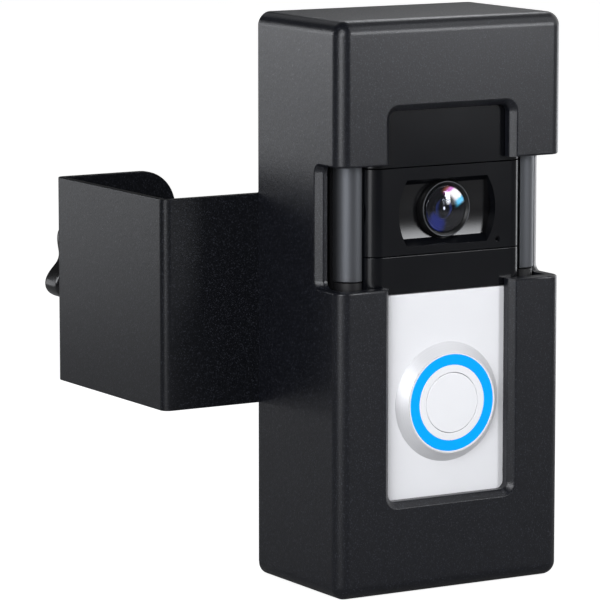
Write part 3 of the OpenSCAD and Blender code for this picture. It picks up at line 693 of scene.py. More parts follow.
def round_outline(width: float, height: float, radius: float, steps: int = 10,
                  centre: Pair = (0, 0)) -> list[Pair]:
    """Outline of a rectangle with round corners.

    Args:
        width: Whole width.
        height: Whole height.
        radius: Corner radius.
        steps: Faces on each corner.
        centre: Its middle.

    Returns:
        The points in turning order.
    """
    outline = []
    for corner, (sx, sy) in enumerate([(1, 1), (-1, 1), (-1, -1), (1, -1)]):
        cx, cy = centre[0] + sx * (width / 2 - radius), centre[1] + sy * (height / 2 - radius)
        for k in range(steps + 1):
            a = QUARTER * (corner + k / steps)
            outline.append((cx + radius * math.cos(a), cy + radius * math.sin(a)))
    return outline


def circle(size: float, radius: float, steps: int, centre: Pair) -> list[Pair]:
    """Outline of a round hole, as a square whose corners take up nearly all of it."""
    return round_outline(size, size, radius, steps, centre)


def prism(name: str, outline: Sequence[Pair], low: float, high: float, along: Axis) -> Piece:
    """Extrudes an outline.

    Args:
        name: The object's name.
        outline: Points in the two other axes, in their order.
        low: Where it starts along the axis.
        high: Where it ends.
        along: The axis.

    Returns:
        The closed prism.
    """
    count = len(outline)
    points = [{Axis.X: (w, u, v), Axis.Y: (u, w, v), Axis.Z: (u, v, w)}[along]
              for w in (low, high) for u, v in outline]
    ends = [tuple(range(count)), tuple(range(2 * count - 1, count - 1, -1))]
    return mesh_object(name, points, ends + strips(2, count))


def lofted(name: str, rings: Sequence[Sequence[Triple]], paired: bool = False) -> Piece:
    """Joins rings of equal length into a closed solid.

    Args:
        name: The object's name.
        rings: The rings, from outside to inside.
        paired: Whether the ends are closed by strips between the ring's two mirrored rows.

    Returns:
        The solid.
    """
    count = len(rings[0])
    faces = strips(len(rings), count)
    for base in (0, (len(rings) - 1) * count):
        if paired:
            faces += [(base + k, base + k + 1, base + count - 2 - k, base + count - 1 - k)
                      for k in range(count // 2 - 1)]
        else:
            faces.append(tuple(base + k for k in range(count)))
    return mesh_object(name, [p for ring in rings for p in ring], faces)


@dataclass(frozen=True)
class Rim:
    """How an opening's edge spreads towards the surface: a round, or a slope where the depth is given."""

    width: float
    slope: float = 0.0

    LEVELS = (-0.8, 0.0, 0.05, 0.12, 0.2, 0.3, 0.45, 0.62, 1.2, 1.6, 1.75, 1.9, 2.05, 2.2)
    SOFT = 0.3
    INSET = 0.004

    def growth(self, deep: float) -> float:
        """How much wider the opening is at a depth under the surface, in millimetres."""
        deep, soft = max(deep, 0.0), self.SOFT
        if not self.slope:
            return self.width - math.sqrt(self.width ** 2 - max(0.0, self.width - deep) ** 2) - self.INSET
        left = self.slope - deep
        if abs(left) < soft:
            return self.width / self.slope * (left + soft) ** 2 / (4 * soft) - self.INSET
        outer = 0.5 * soft * max(0.0, 1 - deep / soft) ** 2
        return max(0.0, self.width * left / self.slope) + outer - self.INSET


def cut(target: Piece, tool: Piece, how: str = "DIFFERENCE") -> None:
    """Applies one boolean and throws the tool away."""
    step = target.modifiers.new("Cut", "BOOLEAN")
    step.operation, step.solver, step.object = how, "MANIFOLD", tool
    settled(target)
    bpy.data.objects.remove(tool)


def pad(name: str, low: Vector, high: Vector, thin: Axis, corner: float, crown: float,
        free: tuple[bool, bool] = (False, True)) -> Piece:
    """A foam pad with soft rims and a crowned free face.

    Args:
        name: The piece's name.
        low: Lowest corner of its space, in metres.
        high: Highest corner.
        thin: Direction of its thickness.
        corner: Radius of its outline's corners, in millimetres.
        crown: How much thicker the middle is than the rim.
        free: Whether its low and its high face are free and crowned.

    Returns:
        The closed pad.
    """
    lo, hi = [c / MM for c in low], [c / MM for c in high]
    u, v = [axis.value for axis in Axis if axis is not thin]
    w = thin.value
    wide, tall, thick = (hi[i] - lo[i] for i in (u, v, w))
    centre = ((hi[u] + lo[u]) / 2, (hi[v] + lo[v]) / 2)
    corner = min(corner, wide / 2 - 0.02, tall / 2 - 0.02)
    roll = min(thick * 0.45, corner * 0.9, 0.9)
    half = min(wide, tall) / 2
    levels: list[Ring] = []
    for upper in (False, True):
        rise = crown if free[upper] else 0.0
        side = [(roll * t, roll * (1 - math.sqrt(1 - (1 - t) ** 2)) + rise) for t in (0.0, 0.08, 0.3, 0.62, 1.0)]
        side += [(roll + (half - roll) * t, rise - rise * math.sin(t * QUARTER)) for t in (0.25, 0.5, 0.75, 0.97)]
        levels += [(inset, sink, upper) for inset, sink in (side if upper else side[::-1])]
    rings = []
    for inset, sink, upper in levels:
        outline = round_outline(wide - 2 * inset, tall - 2 * inset, max(corner - inset, 0.01), 6, centre)
        height = hi[w] - sink if upper else lo[w] + sink
        rings.append([tuple({u: a, v: b, w: height}[i] for i in range(3)) for a, b in outline])
    return lofted(name, rings)


def placed(piece: Piece, finish: Finish, *nodes: str, body: str = "root") -> Piece:
    """Gives a piece its finish and body, and hides the solids that it stands for.

    Args:
        piece: The finished mesh.
        finish: Its finish.
        nodes: Solids that it replaces.
        body: The body that it moves with.

    Returns:
        The same piece.
    """
    piece.data.materials.clear()
    piece.data.materials.append(material_of(finish))
    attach(piece, body)
    if nodes:
        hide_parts(*nodes)
    log.info("%s: %d faces on %s", piece.name, len(piece.data.polygons), body)
    return piece


def covered(edge: Edge, finish: Finish, *nodes: str, body: str = "root") -> None:
    """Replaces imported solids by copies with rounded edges, in a finish and on a body."""
    for node in nodes:
        placed(from_solid(node, edge), finish, node, body=body)


def padded(piece: Piece, finish: Finish, node: str, body: str = "root") -> None:
    """Places a soft piece that fills this share of its solid's space."""
    placed(piece, finish, node, body=body)


def dressed(finish: Finish, *nodes: str) -> None:
    """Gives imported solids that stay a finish."""
    for node in nodes:
        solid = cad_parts[node]
        solid.data.materials.clear()
        solid.data.materials.append(material_of(finish))
        log.info("%s: kept, in %s", node, finish.slot)


# ---------------------------------------------------------------- geometry nodes


class GrowTree:
    """A Geometry Nodes tree with named inputs that ends in realised, dressed geometry."""

    def __init__(self, name: str, sizes: dict[str, float | int]) -> None:
        """Makes the tree with these named inputs at their usual values."""
        self.tree = bpy.data.node_groups.new(name, "GeometryNodeTree")
        self.keys: dict[str, str] = {}
        self.socket("Geometry", "Geometry")
        for label, size in sizes.items():
            self.socket(label, "Int" if isinstance(size, int) else "Float").default_value = size
        self.socket("Part", "Object")
        self.socket("Finish", "Material")
        self.tree.interface.new_socket(name="Geometry", in_out="OUTPUT", socket_type="NodeSocketGeometry")
        self.start = self.tree.nodes.new("NodeGroupInput")

    def socket(self, label: str, kind: str) -> bpy.types.NodeTreeInterfaceSocket:
        """Adds a named input and keeps its identifier."""
        made = self.tree.interface.new_socket(name=label, in_out="INPUT", socket_type=f"NodeSocket{kind}")
        self.keys[label] = made.identifier
        return made

    def node(self, kind: str, settings: dict | None = None, sockets: dict | None = None,
             output: int | str = 0) -> Socket:
        """Adds a node as add_node does."""
        return add_node(self.tree, kind, settings, sockets, output)

    def size(self, label: str) -> Socket:
        """The socket of a named input."""
        return self.start.outputs[label]

    def close(self, geometry: Socket) -> "GrowTree":
        """Ends the tree in Realize Instances and Set Material."""
        real = self.node("GeometryNodeRealizeInstances", sockets={"Geometry": geometry})
        coated = self.node("GeometryNodeSetMaterial", sockets={"Geometry": real, "Material": self.size("Finish")})
        end = self.tree.nodes.new("NodeGroupOutput")
        self.tree.links.new(coated, end.inputs["Geometry"])
        return self

    def grow(self, name: str, sizes: dict[str, float | int], finish: Finish,
             part: Piece | None = None, places: Sequence[Sequence[float]] = ()) -> Piece:
        """Runs the tree and keeps the result as a plain mesh.

        Args:
            name: The piece's name.
            sizes: Values of the named inputs.
            finish: The piece's finish.
            part: A template that the tree repeats, thrown away afterwards.
            places: Points in millimetres that the tree starts from.

        Returns:
            The piece.
        """
        made = linked(name, mesh_of(name, places))
        modifier = made.modifiers.new("Grow", "NODES")
        modifier.node_group = self.tree
        for label, size in sizes.items():
            modifier[self.keys[label]] = size
        modifier[self.keys["Finish"]] = material_of(finish)
        if part:
            modifier[self.keys["Part"]] = part
        made.update_tag()
        settled(made)
        if part:
            bpy.data.objects.remove(part)
        for polygon in made.data.polygons:
            polygon.use_smooth = True
        return made


def repeat_tree() -> GrowTree:
    """A tree that puts the template on every point and turns each a little further about its axis."""
    grow = GrowTree("Repeated_part", {"Turn X": 0.0, "Turn step": 0.0})
    order = grow.node("GeometryNodeInputIndex")
    step = grow.node("ShaderNodeMath", {"operation": "MULTIPLY"}, {0: order, 1: grow.size("Turn step")})
    turn = grow.node("ShaderNodeCombineXYZ", sockets={"X": grow.size("Turn X")})
    spin = grow.node("ShaderNodeCombineXYZ", sockets={"Z": step})
    part = grow.node("GeometryNodeObjectInfo", {"transform_space": "ORIGINAL"}, {
        "Object": grow.size("Part"), "As Instance": True}, "Geometry")
    lean, own = (grow.node("FunctionNodeEulerToRotation", sockets={0: angles}) for angles in (turn, spin))
    both = grow.node("FunctionNodeRotateRotation", {"rotation_space": "LOCAL"}, {0: lean, 1: own})
    points = grow.node("GeometryNodeMeshToPoints", sockets={0: grow.size("Geometry")})
    return grow.close(grow.node("GeometryNodeInstanceOnPoints", sockets={
        "Points": points, "Instance": part, "Rotation": both}))


def coil_tree() -> GrowTree:
    """A tree that winds a wire of any radius into a coil along Z."""
    grow = GrowTree("Wound_wire", {"Radius": 0.006, "Wire": 0.0004, "Turns": 3.0, "Height": 0.006,
                                   "Steps": 24, "Around": 10})
    coil = grow.node("GeometryNodeCurveSpiral", sockets={
        "Resolution": grow.size("Steps"), "Rotations": grow.size("Turns"), "Start Radius": grow.size("Radius"),
        "End Radius": grow.size("Radius"), "Height": grow.size("Height")})
    wire = grow.node("GeometryNodeCurvePrimitiveCircle", sockets={
        "Resolution": grow.size("Around"), "Radius": grow.size("Wire")})
    return grow.close(grow.node("GeometryNodeCurveToMesh", sockets={
        "Curve": coil, "Profile Curve": wire, "Fill Caps": True}))


def wound(coil: GrowTree, name: str, sizes: dict[str, float | int], centre: Pair, start: float) -> Piece:
    """Winds a zinc coil about an axis along Y.

    Args:
        coil: The winding tree.
        name: The piece's name.
        sizes: Values of its named inputs.
        centre: x and z of the axis.
        start: Y where the coil begins, in millimetres.

    Returns:
        The coil.
    """
    made = coil.grow(name, sizes, ZINC)
    made.data.transform(Matrix.Translation((centre[0] * MM, start * MM, centre[1] * MM))
                        @ Matrix.Rotation(-QUARTER, 4, "X"))
    return made


def screw_part(name: str, head_r: float, head_h: float, shank_r: float, shank_l: float, lobes: int = 6) -> Piece:
    """A template screw with its head's top at the origin and its shank along Z.

    Args:
        name: The template's name.
        head_r: Head radius in millimetres.
        head_h: Head height.
        shank_r: Thread's outer radius.
        shank_l: Shank length.
        lobes: Lobes of the socket, or 2 for a slot-like oval.

    Returns:
        The template.
    """
    socket_r, pitch = head_r * 0.42, 0.7
    rings: list[Ring] = [
        (0.0, head_h * 0.62, False), (socket_r * 0.6, head_h * 0.6, True), (socket_r, head_h * 0.56, True),
        (socket_r, 0.08, True), (socket_r + 0.08, 0.0, True), (head_r - 0.3, 0.0, False),
        (head_r - 0.06, 0.1, False), (head_r, 0.32, False), (head_r, head_h - 0.06, False),
        (head_r - 0.06, head_h, False), (shank_r, head_h, False)]
    rows = 2 * max(2, int(shank_l / pitch))
    rings += [(shank_r * (0.82 if k % 2 else 1.0), head_h + shank_l * (k + 0.5) / rows, False) for k in range(rows)]
    rings += [(shank_r * 0.7, head_h + shank_l, False), (0.0, head_h + shank_l, False)]
    return spun(name, rings, 36, lambda u, v, z: (u, v, z), lambda r, a: r * (1 + 0.13 * math.cos(lobes * a)))


# ---------------------------------------------------------------- the door mount


@dataclass
class SecurityCover:
    """The steel-black cover round the doorbell, with its window and camera-level cut."""

    wall: float = 3.0
    front: float = 3.6
    edge_r: float = 3.7
    inner_r: float = 1.2
    window_w: float = 37.4
    window_top: float = 52.2
    window_low: float = -51.2
    window_r: float = 2.0
    band_low: float = 5.6
    band_high: float = 38.2
    band_depth: float = 10.8
    band_r: float = 2.2
    screw_x: float = 10.0
    screw_y: float = -9.2
    sharp: float = 42.0
    front_rim: Rim = Rim(0.6)
    window_rim: Rim = Rim(1.7, 1.6)
    side_rim: Rim = Rim(1.75, 1.85)

    def build(self, repeat: GrowTree) -> None:
        """Makes the cover and its screws."""
        low, high = [[c / MM for c in corner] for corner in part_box("security_cover")]
        shell, past = self.blank(low, high), 1
        inner_w, inner_h = high[0] - low[0] - 2 * self.wall, high[2] - low[2] - 2 * self.wall
        cavity = round_outline(inner_w, inner_h, self.inner_r)
        cut(shell, prism("cavity", cavity, low[1] + self.front, high[1] + past, Axis.Y))
        self.ledge(shell, high[1], inner_h / 2)
        cut(shell, prism("window", self.window(0.0), low[1] - past, low[1] + self.front + 0.8, Axis.Y))
        depth = self.band_depth + 3
        band = round_outline(depth, self.band_high - self.band_low, self.band_r, 10,
                             (low[1] + self.band_depth - depth / 2, (self.band_high + self.band_low) / 2))
        cut(shell, prism("band", band, low[0] - 2, high[0] + 2, Axis.X))
        cut(shell, lofted("window_rim", [
            [(u, low[1] + deep, v) for u, v in self.window(self.window_rim.growth(deep))] for deep in Rim.LEVELS]))
        cut(shell, self.band_flare(low, high))
        for side in (-1, 1):
            at = (side * self.screw_x, self.screw_y)
            cut(shell, prism("hole", circle(4.4, 2.19, 8, at), low[2] - past, low[2] + 4, Axis.Z))
            cut(shell, prism("seat", circle(8, 3.99, 10, at), low[2] - past, low[2] + 1.7, Axis.Z))
        tidy(shell, flat=0.3)
        shell.data.set_sharp_from_angle(angle=math.radians(self.sharp))
        shaded(shell, 60, keep_sharp=True).name = "cover_shell"
        placed(shell, COVER_COAT, "security_cover")
        template = screw_part("cover_screw_part", 3.9, 1.6, 2.0, 6.55)
        spots = [(side * self.screw_x, self.screw_y, low[2]) for side in (-1, 1)]
        placed(repeat.grow("cover_screw_pair", {"Turn step": 0.5}, SCREW_COAT, template, spots),
               SCREW_COAT, "cover_screws")
        covered(Edge.MOULDED, ZINC, "cover_nuts")

    def window(self, grow: float) -> list[Pair]:
        """The window's outline, wider by an amount on every side."""
        return round_outline(self.window_w + 2 * grow, self.window_top - self.window_low + 2 * grow,
                             self.window_r + grow, 10, (0, (self.window_top + self.window_low) / 2))

    def band_flare(self, low: Sequence[float], high: Sequence[float]) -> Piece:
        """The flared cutter round the camera-level cut: slight along the front, broad behind at both sides.

        Args:
            low: Lowest corner in millimetres.
            high: Highest corner.

        Returns:
            The cutter, bent round the cover's front corners.
        """
        half, r, arc = (high[0] - low[0]) / 2, self.edge_r, QUARTER * self.edge_r
        middle, tall = (self.band_high + self.band_low) / 2, (self.band_high - self.band_low) / 2

        def bent(along: float, deep: float) -> Pair:
            """X and Y of a point by its way along the front from the middle and its depth under the surface."""
            side, way = math.copysign(1, along), abs(along) - (half - r)
            turn = min(max(way / r, 0), QUARTER)
            x = min(half - r, abs(along)) + (r - deep) * math.sin(turn)
            y = r - (r - deep) * math.cos(turn) + max(0.0, way - arc)
            return (low[0] + high[0]) / 2 + side * x, low[1] + y

        rings = []
        for deep in Rim.LEVELS:
            grow, back = self.front_rim.growth(deep), self.side_rim.growth(deep)
            end = half - 2 * r + arc + self.band_depth + back
            corner = self.band_r + max(0.0, grow)
            flat = [half - r, 0.0] + [half - r + arc * k / 12 for k in range(1, 13)]
            turns = [QUARTER * k / 10 for k in range(11)]
            way = sorted(flat) + [end - corner + corner * math.sin(t) for t in turns]
            rise = [tall + grow] * len(flat) + [tall + grow - corner * (1 - math.cos(t)) for t in turns]
            row = [(-a, h) for a, h in zip(way[:0:-1], rise[:0:-1])] + list(zip(way, rise))
            rings.append([(*bent(a, deep), middle + h) for a, h in row]
                         + [(*bent(a, deep), middle - h) for a, h in reversed(row)])
        return lofted("band_rim", rings, paired=True)

    def blank(self, low: Sequence[float], high: Sequence[float]) -> Piece:
        """The cover's outside between two corners: ball corners at the front, round corners behind."""
        r, steps = self.edge_r, 12
        bm = bmesh.new()
        for sx, sz in ((-1, -1), (-1, 1), (1, -1), (1, 1)):
            cx = (high[0] - r) if sx > 0 else (low[0] + r)
            cz = (high[2] - r) if sz > 0 else (low[2] + r)
            for i in range(steps + 1):
                lift = QUARTER * i / steps
                for k in range(steps + 1 if i < steps else 1):
                    turn = QUARTER * k / steps
                    x, z = r * math.cos(lift) * math.cos(turn), r * math.cos(lift) * math.sin(turn)
                    depths = [low[1] + r - r * math.sin(lift)] + ([high[1]] if i == 0 else [])
                    for y in depths:
                        bm.verts.new(((cx + sx * x) * MM, y * MM, (cz + sz * z) * MM))
        bmesh.ops.convex_hull(bm, input=bm.verts)
        mesh = bpy.data.meshes.new("cover_shell")
        bm.to_mesh(mesh)
        bm.free()
        blank = linked("cover_shell", mesh)
        tidy(blank, flat=0.3)
        return blank

    def ledge(self, shell: Piece, back: float, roof: float) -> None:
        """Adds the pocket over the bracket's upper tab, by Y of the open side and Z of the cavity's top."""
        for name, half, start, end, low, high, how in (
                ("ledge", 14, back - 11.5, back - 2, roof - 4.1, roof + 0.5, "UNION"),
                ("pocket", 12.3, back - 10.3, back + 1, roof - 2.3, roof, "DIFFERENCE")):
            block = [(-half, start), (half, start), (half, end), (-half, end)]
            cut(shell, prism(name, block, low, high, Axis.Z), how)


@dataclass
class DoorArm:
    """The bent steel bracket with its pads on the door and the nut welded to its flange."""

    cover_pad_low: float = -31.0
    strap_pad_w: float = 21.0
    strap_half: float = 24.3
    strap_z: float = -0.6
    corner: float = 3.0

    def build(self) -> None:
        """Makes the bracket, the pads and the nut."""
        covered(Edge.PRESSED, BRACKET_COAT, "arm_bracket")
        low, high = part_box("door_pads")
        strap = [(self.strap_z + side * self.strap_half) * MM for side in (-1, 1)]
        spaces = {"door_pad_cover": (Vector((self.cover_pad_low * MM, low.y, low.z)), high),
                  "door_pad_strap": (Vector((low.x, low.y, strap[0])),
                                     Vector((low.x + self.strap_pad_w * MM, high.y, strap[1])))}
        pads = [pad(name, *space, Axis.Y, self.corner, 0.12) for name, space in spaces.items()]
        for piece in pads:
            padded(piece, FOAM_DARK, "door_pads")
        padded(pad("edge_lining", *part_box("edge_pad"), Axis.X, self.corner, 0.15), RUBBER_PAD, "edge_pad")
        covered(Edge.PRESSED, ZINC, "clamp_nut")


@dataclass
class ScrewClamp:
    """The lobed knob, its threaded spindle and the plate that presses on the door."""

    axis: Pair = (-44.4, -0.6)
    knob_r: float = 15.4
    hub_r: float = 11.0
    lobes: int = 5
    first_lobe: float = 199.0
    rim: float = 2.4
    cap_r: float = 5.0
    core_r: float = 3.5
    neck_r: float = 3.0
    thread_r: float = 3.95
    pitch: float = 1.25

    def build(self, coil: GrowTree) -> None:
        """Makes the moving screw, then the foot."""
        self.knob()
        self.spindle(coil)
        low, high = span("knob_cap")
        cap = turned("knob_badge_disc", [(0, low), (self.cap_r, low), (self.cap_r, high), (0, high)], self.axis, 0.4)
        placed(cap, KNOB_BLACK, "knob_cap", body="clamp_screw")
        covered(Edge.CRISP, ZINC, "spindle_clip", body="clamp_screw")
        covered(Edge.PRESSED, ZINC, "pressure_plate", body="clamp_foot")
        face = pad("pressure_face", *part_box("pressure_pad"), Axis.Y, 4.0, 0.2, free=(True, False))
        padded(face, RUBBER_PAD, "pressure_pad", body="clamp_foot")

    def reach(self, size: float, angle: float) -> float:
        """Radius this far inside the knob's outline, at an angle from +X towards +Z."""
        step = 2 * math.pi / self.lobes
        off = (angle - math.radians(self.first_lobe) + step / 2) % step - step / 2
        wave = (1 + math.cos(self.lobes * off)) / 2
        return self.hub_r + (self.knob_r - self.hub_r) * wave ** 1.1 - size

    def knob(self) -> None:
        """Makes the knob from rings that follow its outline."""
        (low, high), rim = span("clamp_knob"), self.rim
        turns = [QUARTER * k / 8 for k in range(9)]
        rings: list[Ring] = [(4.06, low + 7.2, False), (4.06, low + 0.3, False), (4.4, low, False),
                             (5.6, low, False), (5.8, low + 0.9, False),
                             (rim + 2.6, low + 0.9, True), (rim + 2.2, low, True)]
        rings += [(rim * (1 - math.sin(a)), low + rim * (1 - math.cos(a)), True) for a in turns]
        rings += [(rim * (1 - math.cos(a)), high - rim * (1 - math.sin(a)), True) for a in turns]
        rings += [(rim + 2.0, high - 0.1, True), (6.5, high - 0.35, False), (6.2, high - 0.05, False),
                  (5.5, high, False), (5.2, high - 0.2, False), (5.2, high - 1.4, False), (0.0, high - 1.4, False)]
        knob = spun("lobed_knob", rings, 180, along_y(self.axis), self.reach)
        placed(knob, KNOB_BLACK, "clamp_knob", body="clamp_screw")

    def spindle(self, coil: GrowTree) -> None:
        """Makes the core with its journal, and winds the thread on it."""
        low, high = span("clamp_spindle")
        neck, core_r, groove_r, shoulder = self.neck_r, self.core_r, 2.45, low + 5.75
        profile = [(0, low), (neck, low), (neck, low + 0.2), (groove_r, low + 0.2), (groove_r, low + 1.1),
                   (neck, low + 1.1), (neck, shoulder), (core_r, shoulder), (core_r, high), (0, high)]
        placed(turned("spindle_core", profile, self.axis, 0.1, 64), ZINC, "clamp_spindle", body="clamp_screw")
        length, wire = high - shoulder - 2.2, (self.thread_r - core_r) * 1.25
        thread = wound(coil, "spindle_thread", {
            "Radius": (self.thread_r - wire) * MM, "Wire": wire * MM, "Turns": length / self.pitch,
            "Height": length * MM, "Steps": 36, "Around": 6}, self.axis, shoulder + 1.0)
        placed(thread, ZINC, body="clamp_screw")


@dataclass
class Cushions:
    """Foam between the doorbell, the cover and the bracket."""

    upper: Pair = (16.0, 32.0)
    lower: Pair = (-55.0, -5.0)
    left_t: float = 2.5
    right_t: float = 0.7
    end_t: float = 10.0

    def build(self) -> None:
        """Makes four side strips, two end blocks and the backing."""
        low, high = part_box("side_cushions")
        sides = {"left": (low.x, low.x + self.left_t * MM), "right": (high.x - self.right_t * MM, high.x)}
        for side, (a, b) in sides.items():
            for level, (z0, z1) in (("upper", self.upper), ("lower", self.lower)):
                strip = pad(f"side_foam_{side}_{level}", Vector((a, low.y, z0 * MM)), Vector((b, high.y, z1 * MM)),
                            Axis.X, 0.8, 0.08, free=(side == "right", side == "left"))
                padded(strip, FOAM_DARK, "side_cushions")
        low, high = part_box("end_cushions")
        ends = {"upper": (high.z - self.end_t * MM, high.z), "lower": (low.z, low.z + self.end_t * MM)}
        for level, (a, b) in ends.items():
            block = pad(f"end_foam_{level}", Vector((low.x, low.y, a)), Vector((high.x, high.y, b)), Axis.Z,
                        1.5, 0.3, free=(level == "upper", level == "lower"))
            padded(block, FOAM_DARK, "end_cushions")
        padded(from_solid("backing_foam", Edge.SOFT), FOAM_DARK, "backing_foam")


# ---------------------------------------------------------------- the doorbell


@dataclass
class DoorbellCase:
    """The doorbell's back: wall plate, case, frame, seal, screws and pairing button."""

    shift: float = 0.9
    wall_screw: Pair = (20.0, 45.0)
    terminal: Pair = (8.0, 40.0)
    corner_in: float = 2.5
    wall_screw_y: float = -11.2
    terminal_y: float = -10.1

    def build(self, repeat: GrowTree) -> None:
        """Makes the case's pieces and its screws."""
        covered(Edge.MOULDED, CASE_BLACK, "wall_plate", "rear_case", "mid_frame")
        covered(Edge.MOULDED, RUBBER_PAD, "case_seal")
        covered(Edge.MOULDED, SETUP_ORANGE, "setup_button", body="pairing_button")
        self.screws(repeat, "wall_plate_screws", ZINC, screw_part("part_a", 3.4, 1.6, 1.9, 8.4),
                    self.wall_screw_y, self.corners(self.wall_screw), -QUARTER)
        low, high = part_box("case_screws")
        corner = ((high.x - low.x) / 2 / MM - self.corner_in, high.z / MM - self.corner_in)
        self.screws(repeat, "case_screws", ZINC, screw_part("part_b", 2.5, 1.5, 1.2, 17.4),
                    high.y / MM, self.corners(corner), QUARTER)
        sides = [(side * self.terminal[0] + self.shift, self.terminal[1]) for side in (-1, 1)]
        self.screws(repeat, "terminal_screws", BRASS, screw_part("part_c", 2.8, 1.5, 1.45, 2.0, 2),
                    self.terminal_y, sides, QUARTER)

    def corners(self, reach: Pair) -> list[Pair]:
        """Four places about the doorbell's middle."""
        return [(sx * reach[0] + self.shift, sz * reach[1]) for sx in (-1, 1) for sz in (-1, 1)]

    def screws(self, repeat: GrowTree, node: str, finish: Finish, part: Piece, y: float,
               spots: Sequence[Pair], turn: float) -> None:
        """Puts a screw on each spot.

        Args:
            repeat: The repeating tree.
            node: The solids that the screws replace.
            finish: Their finish.
            part: The template.
            y: Y of the heads' tops.
            spots: x and z of each.
            turn: Rotation about X that points the shank.
        """
        places = [(x, y, z) for x, z in spots]
        grown = repeat.grow(f"{node}_set", {"Turn X": turn, "Turn step": 0.7}, finish, part, places)
        placed(grown, finish, node)


@dataclass
class FrontPanels:
    """The black head in three panels, the silver rails and the faceplate."""

    cheek_left: Pair = (-23.3, -19.25)
    cheek_right: Pair = (21.05, 24.9)
    cheek_y: Pair = (-37.4, -31.2)
    cheek_z: Pair = (15.0, 35.4)

    def build(self, repeat: GrowTree) -> None:
        """Makes each panel from its solid with moulded edges."""
        covered(Edge.MOULDED, HEAD_BLACK, "upper_fascia", "camera_bezel", "motion_window")
        (y0, y1), (z0, z1) = self.cheek_y, self.cheek_z
        for side, ends in (("left", self.cheek_left), ("right", self.cheek_right)):
            block = prism(f"bezel_cheek_{side}", [(y0, z0), (y1, z0), (y1, z1), (y0, z1)], *ends, Axis.X)
            placed(rounded(block, Edge.CRISP, 2), HEAD_BLACK, "camera_bezel")
        covered(Edge.PRESSED, RAIL_SILVER, "side_rails")
        covered(Edge.MOULDED, PLATE_SILVER, "faceplate")
        low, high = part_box("faceplate_screw")
        spot = ((low.x + high.x) / 2 / MM, (low.y + high.y) / 2 / MM, low.z / MM)
        part = screw_part("part_d", 2.1, 1.4, 1.2, 9.4)
        placed(repeat.grow("faceplate_screw_set", {}, ZINC, part, [spot]), ZINC, "faceplate_screw")


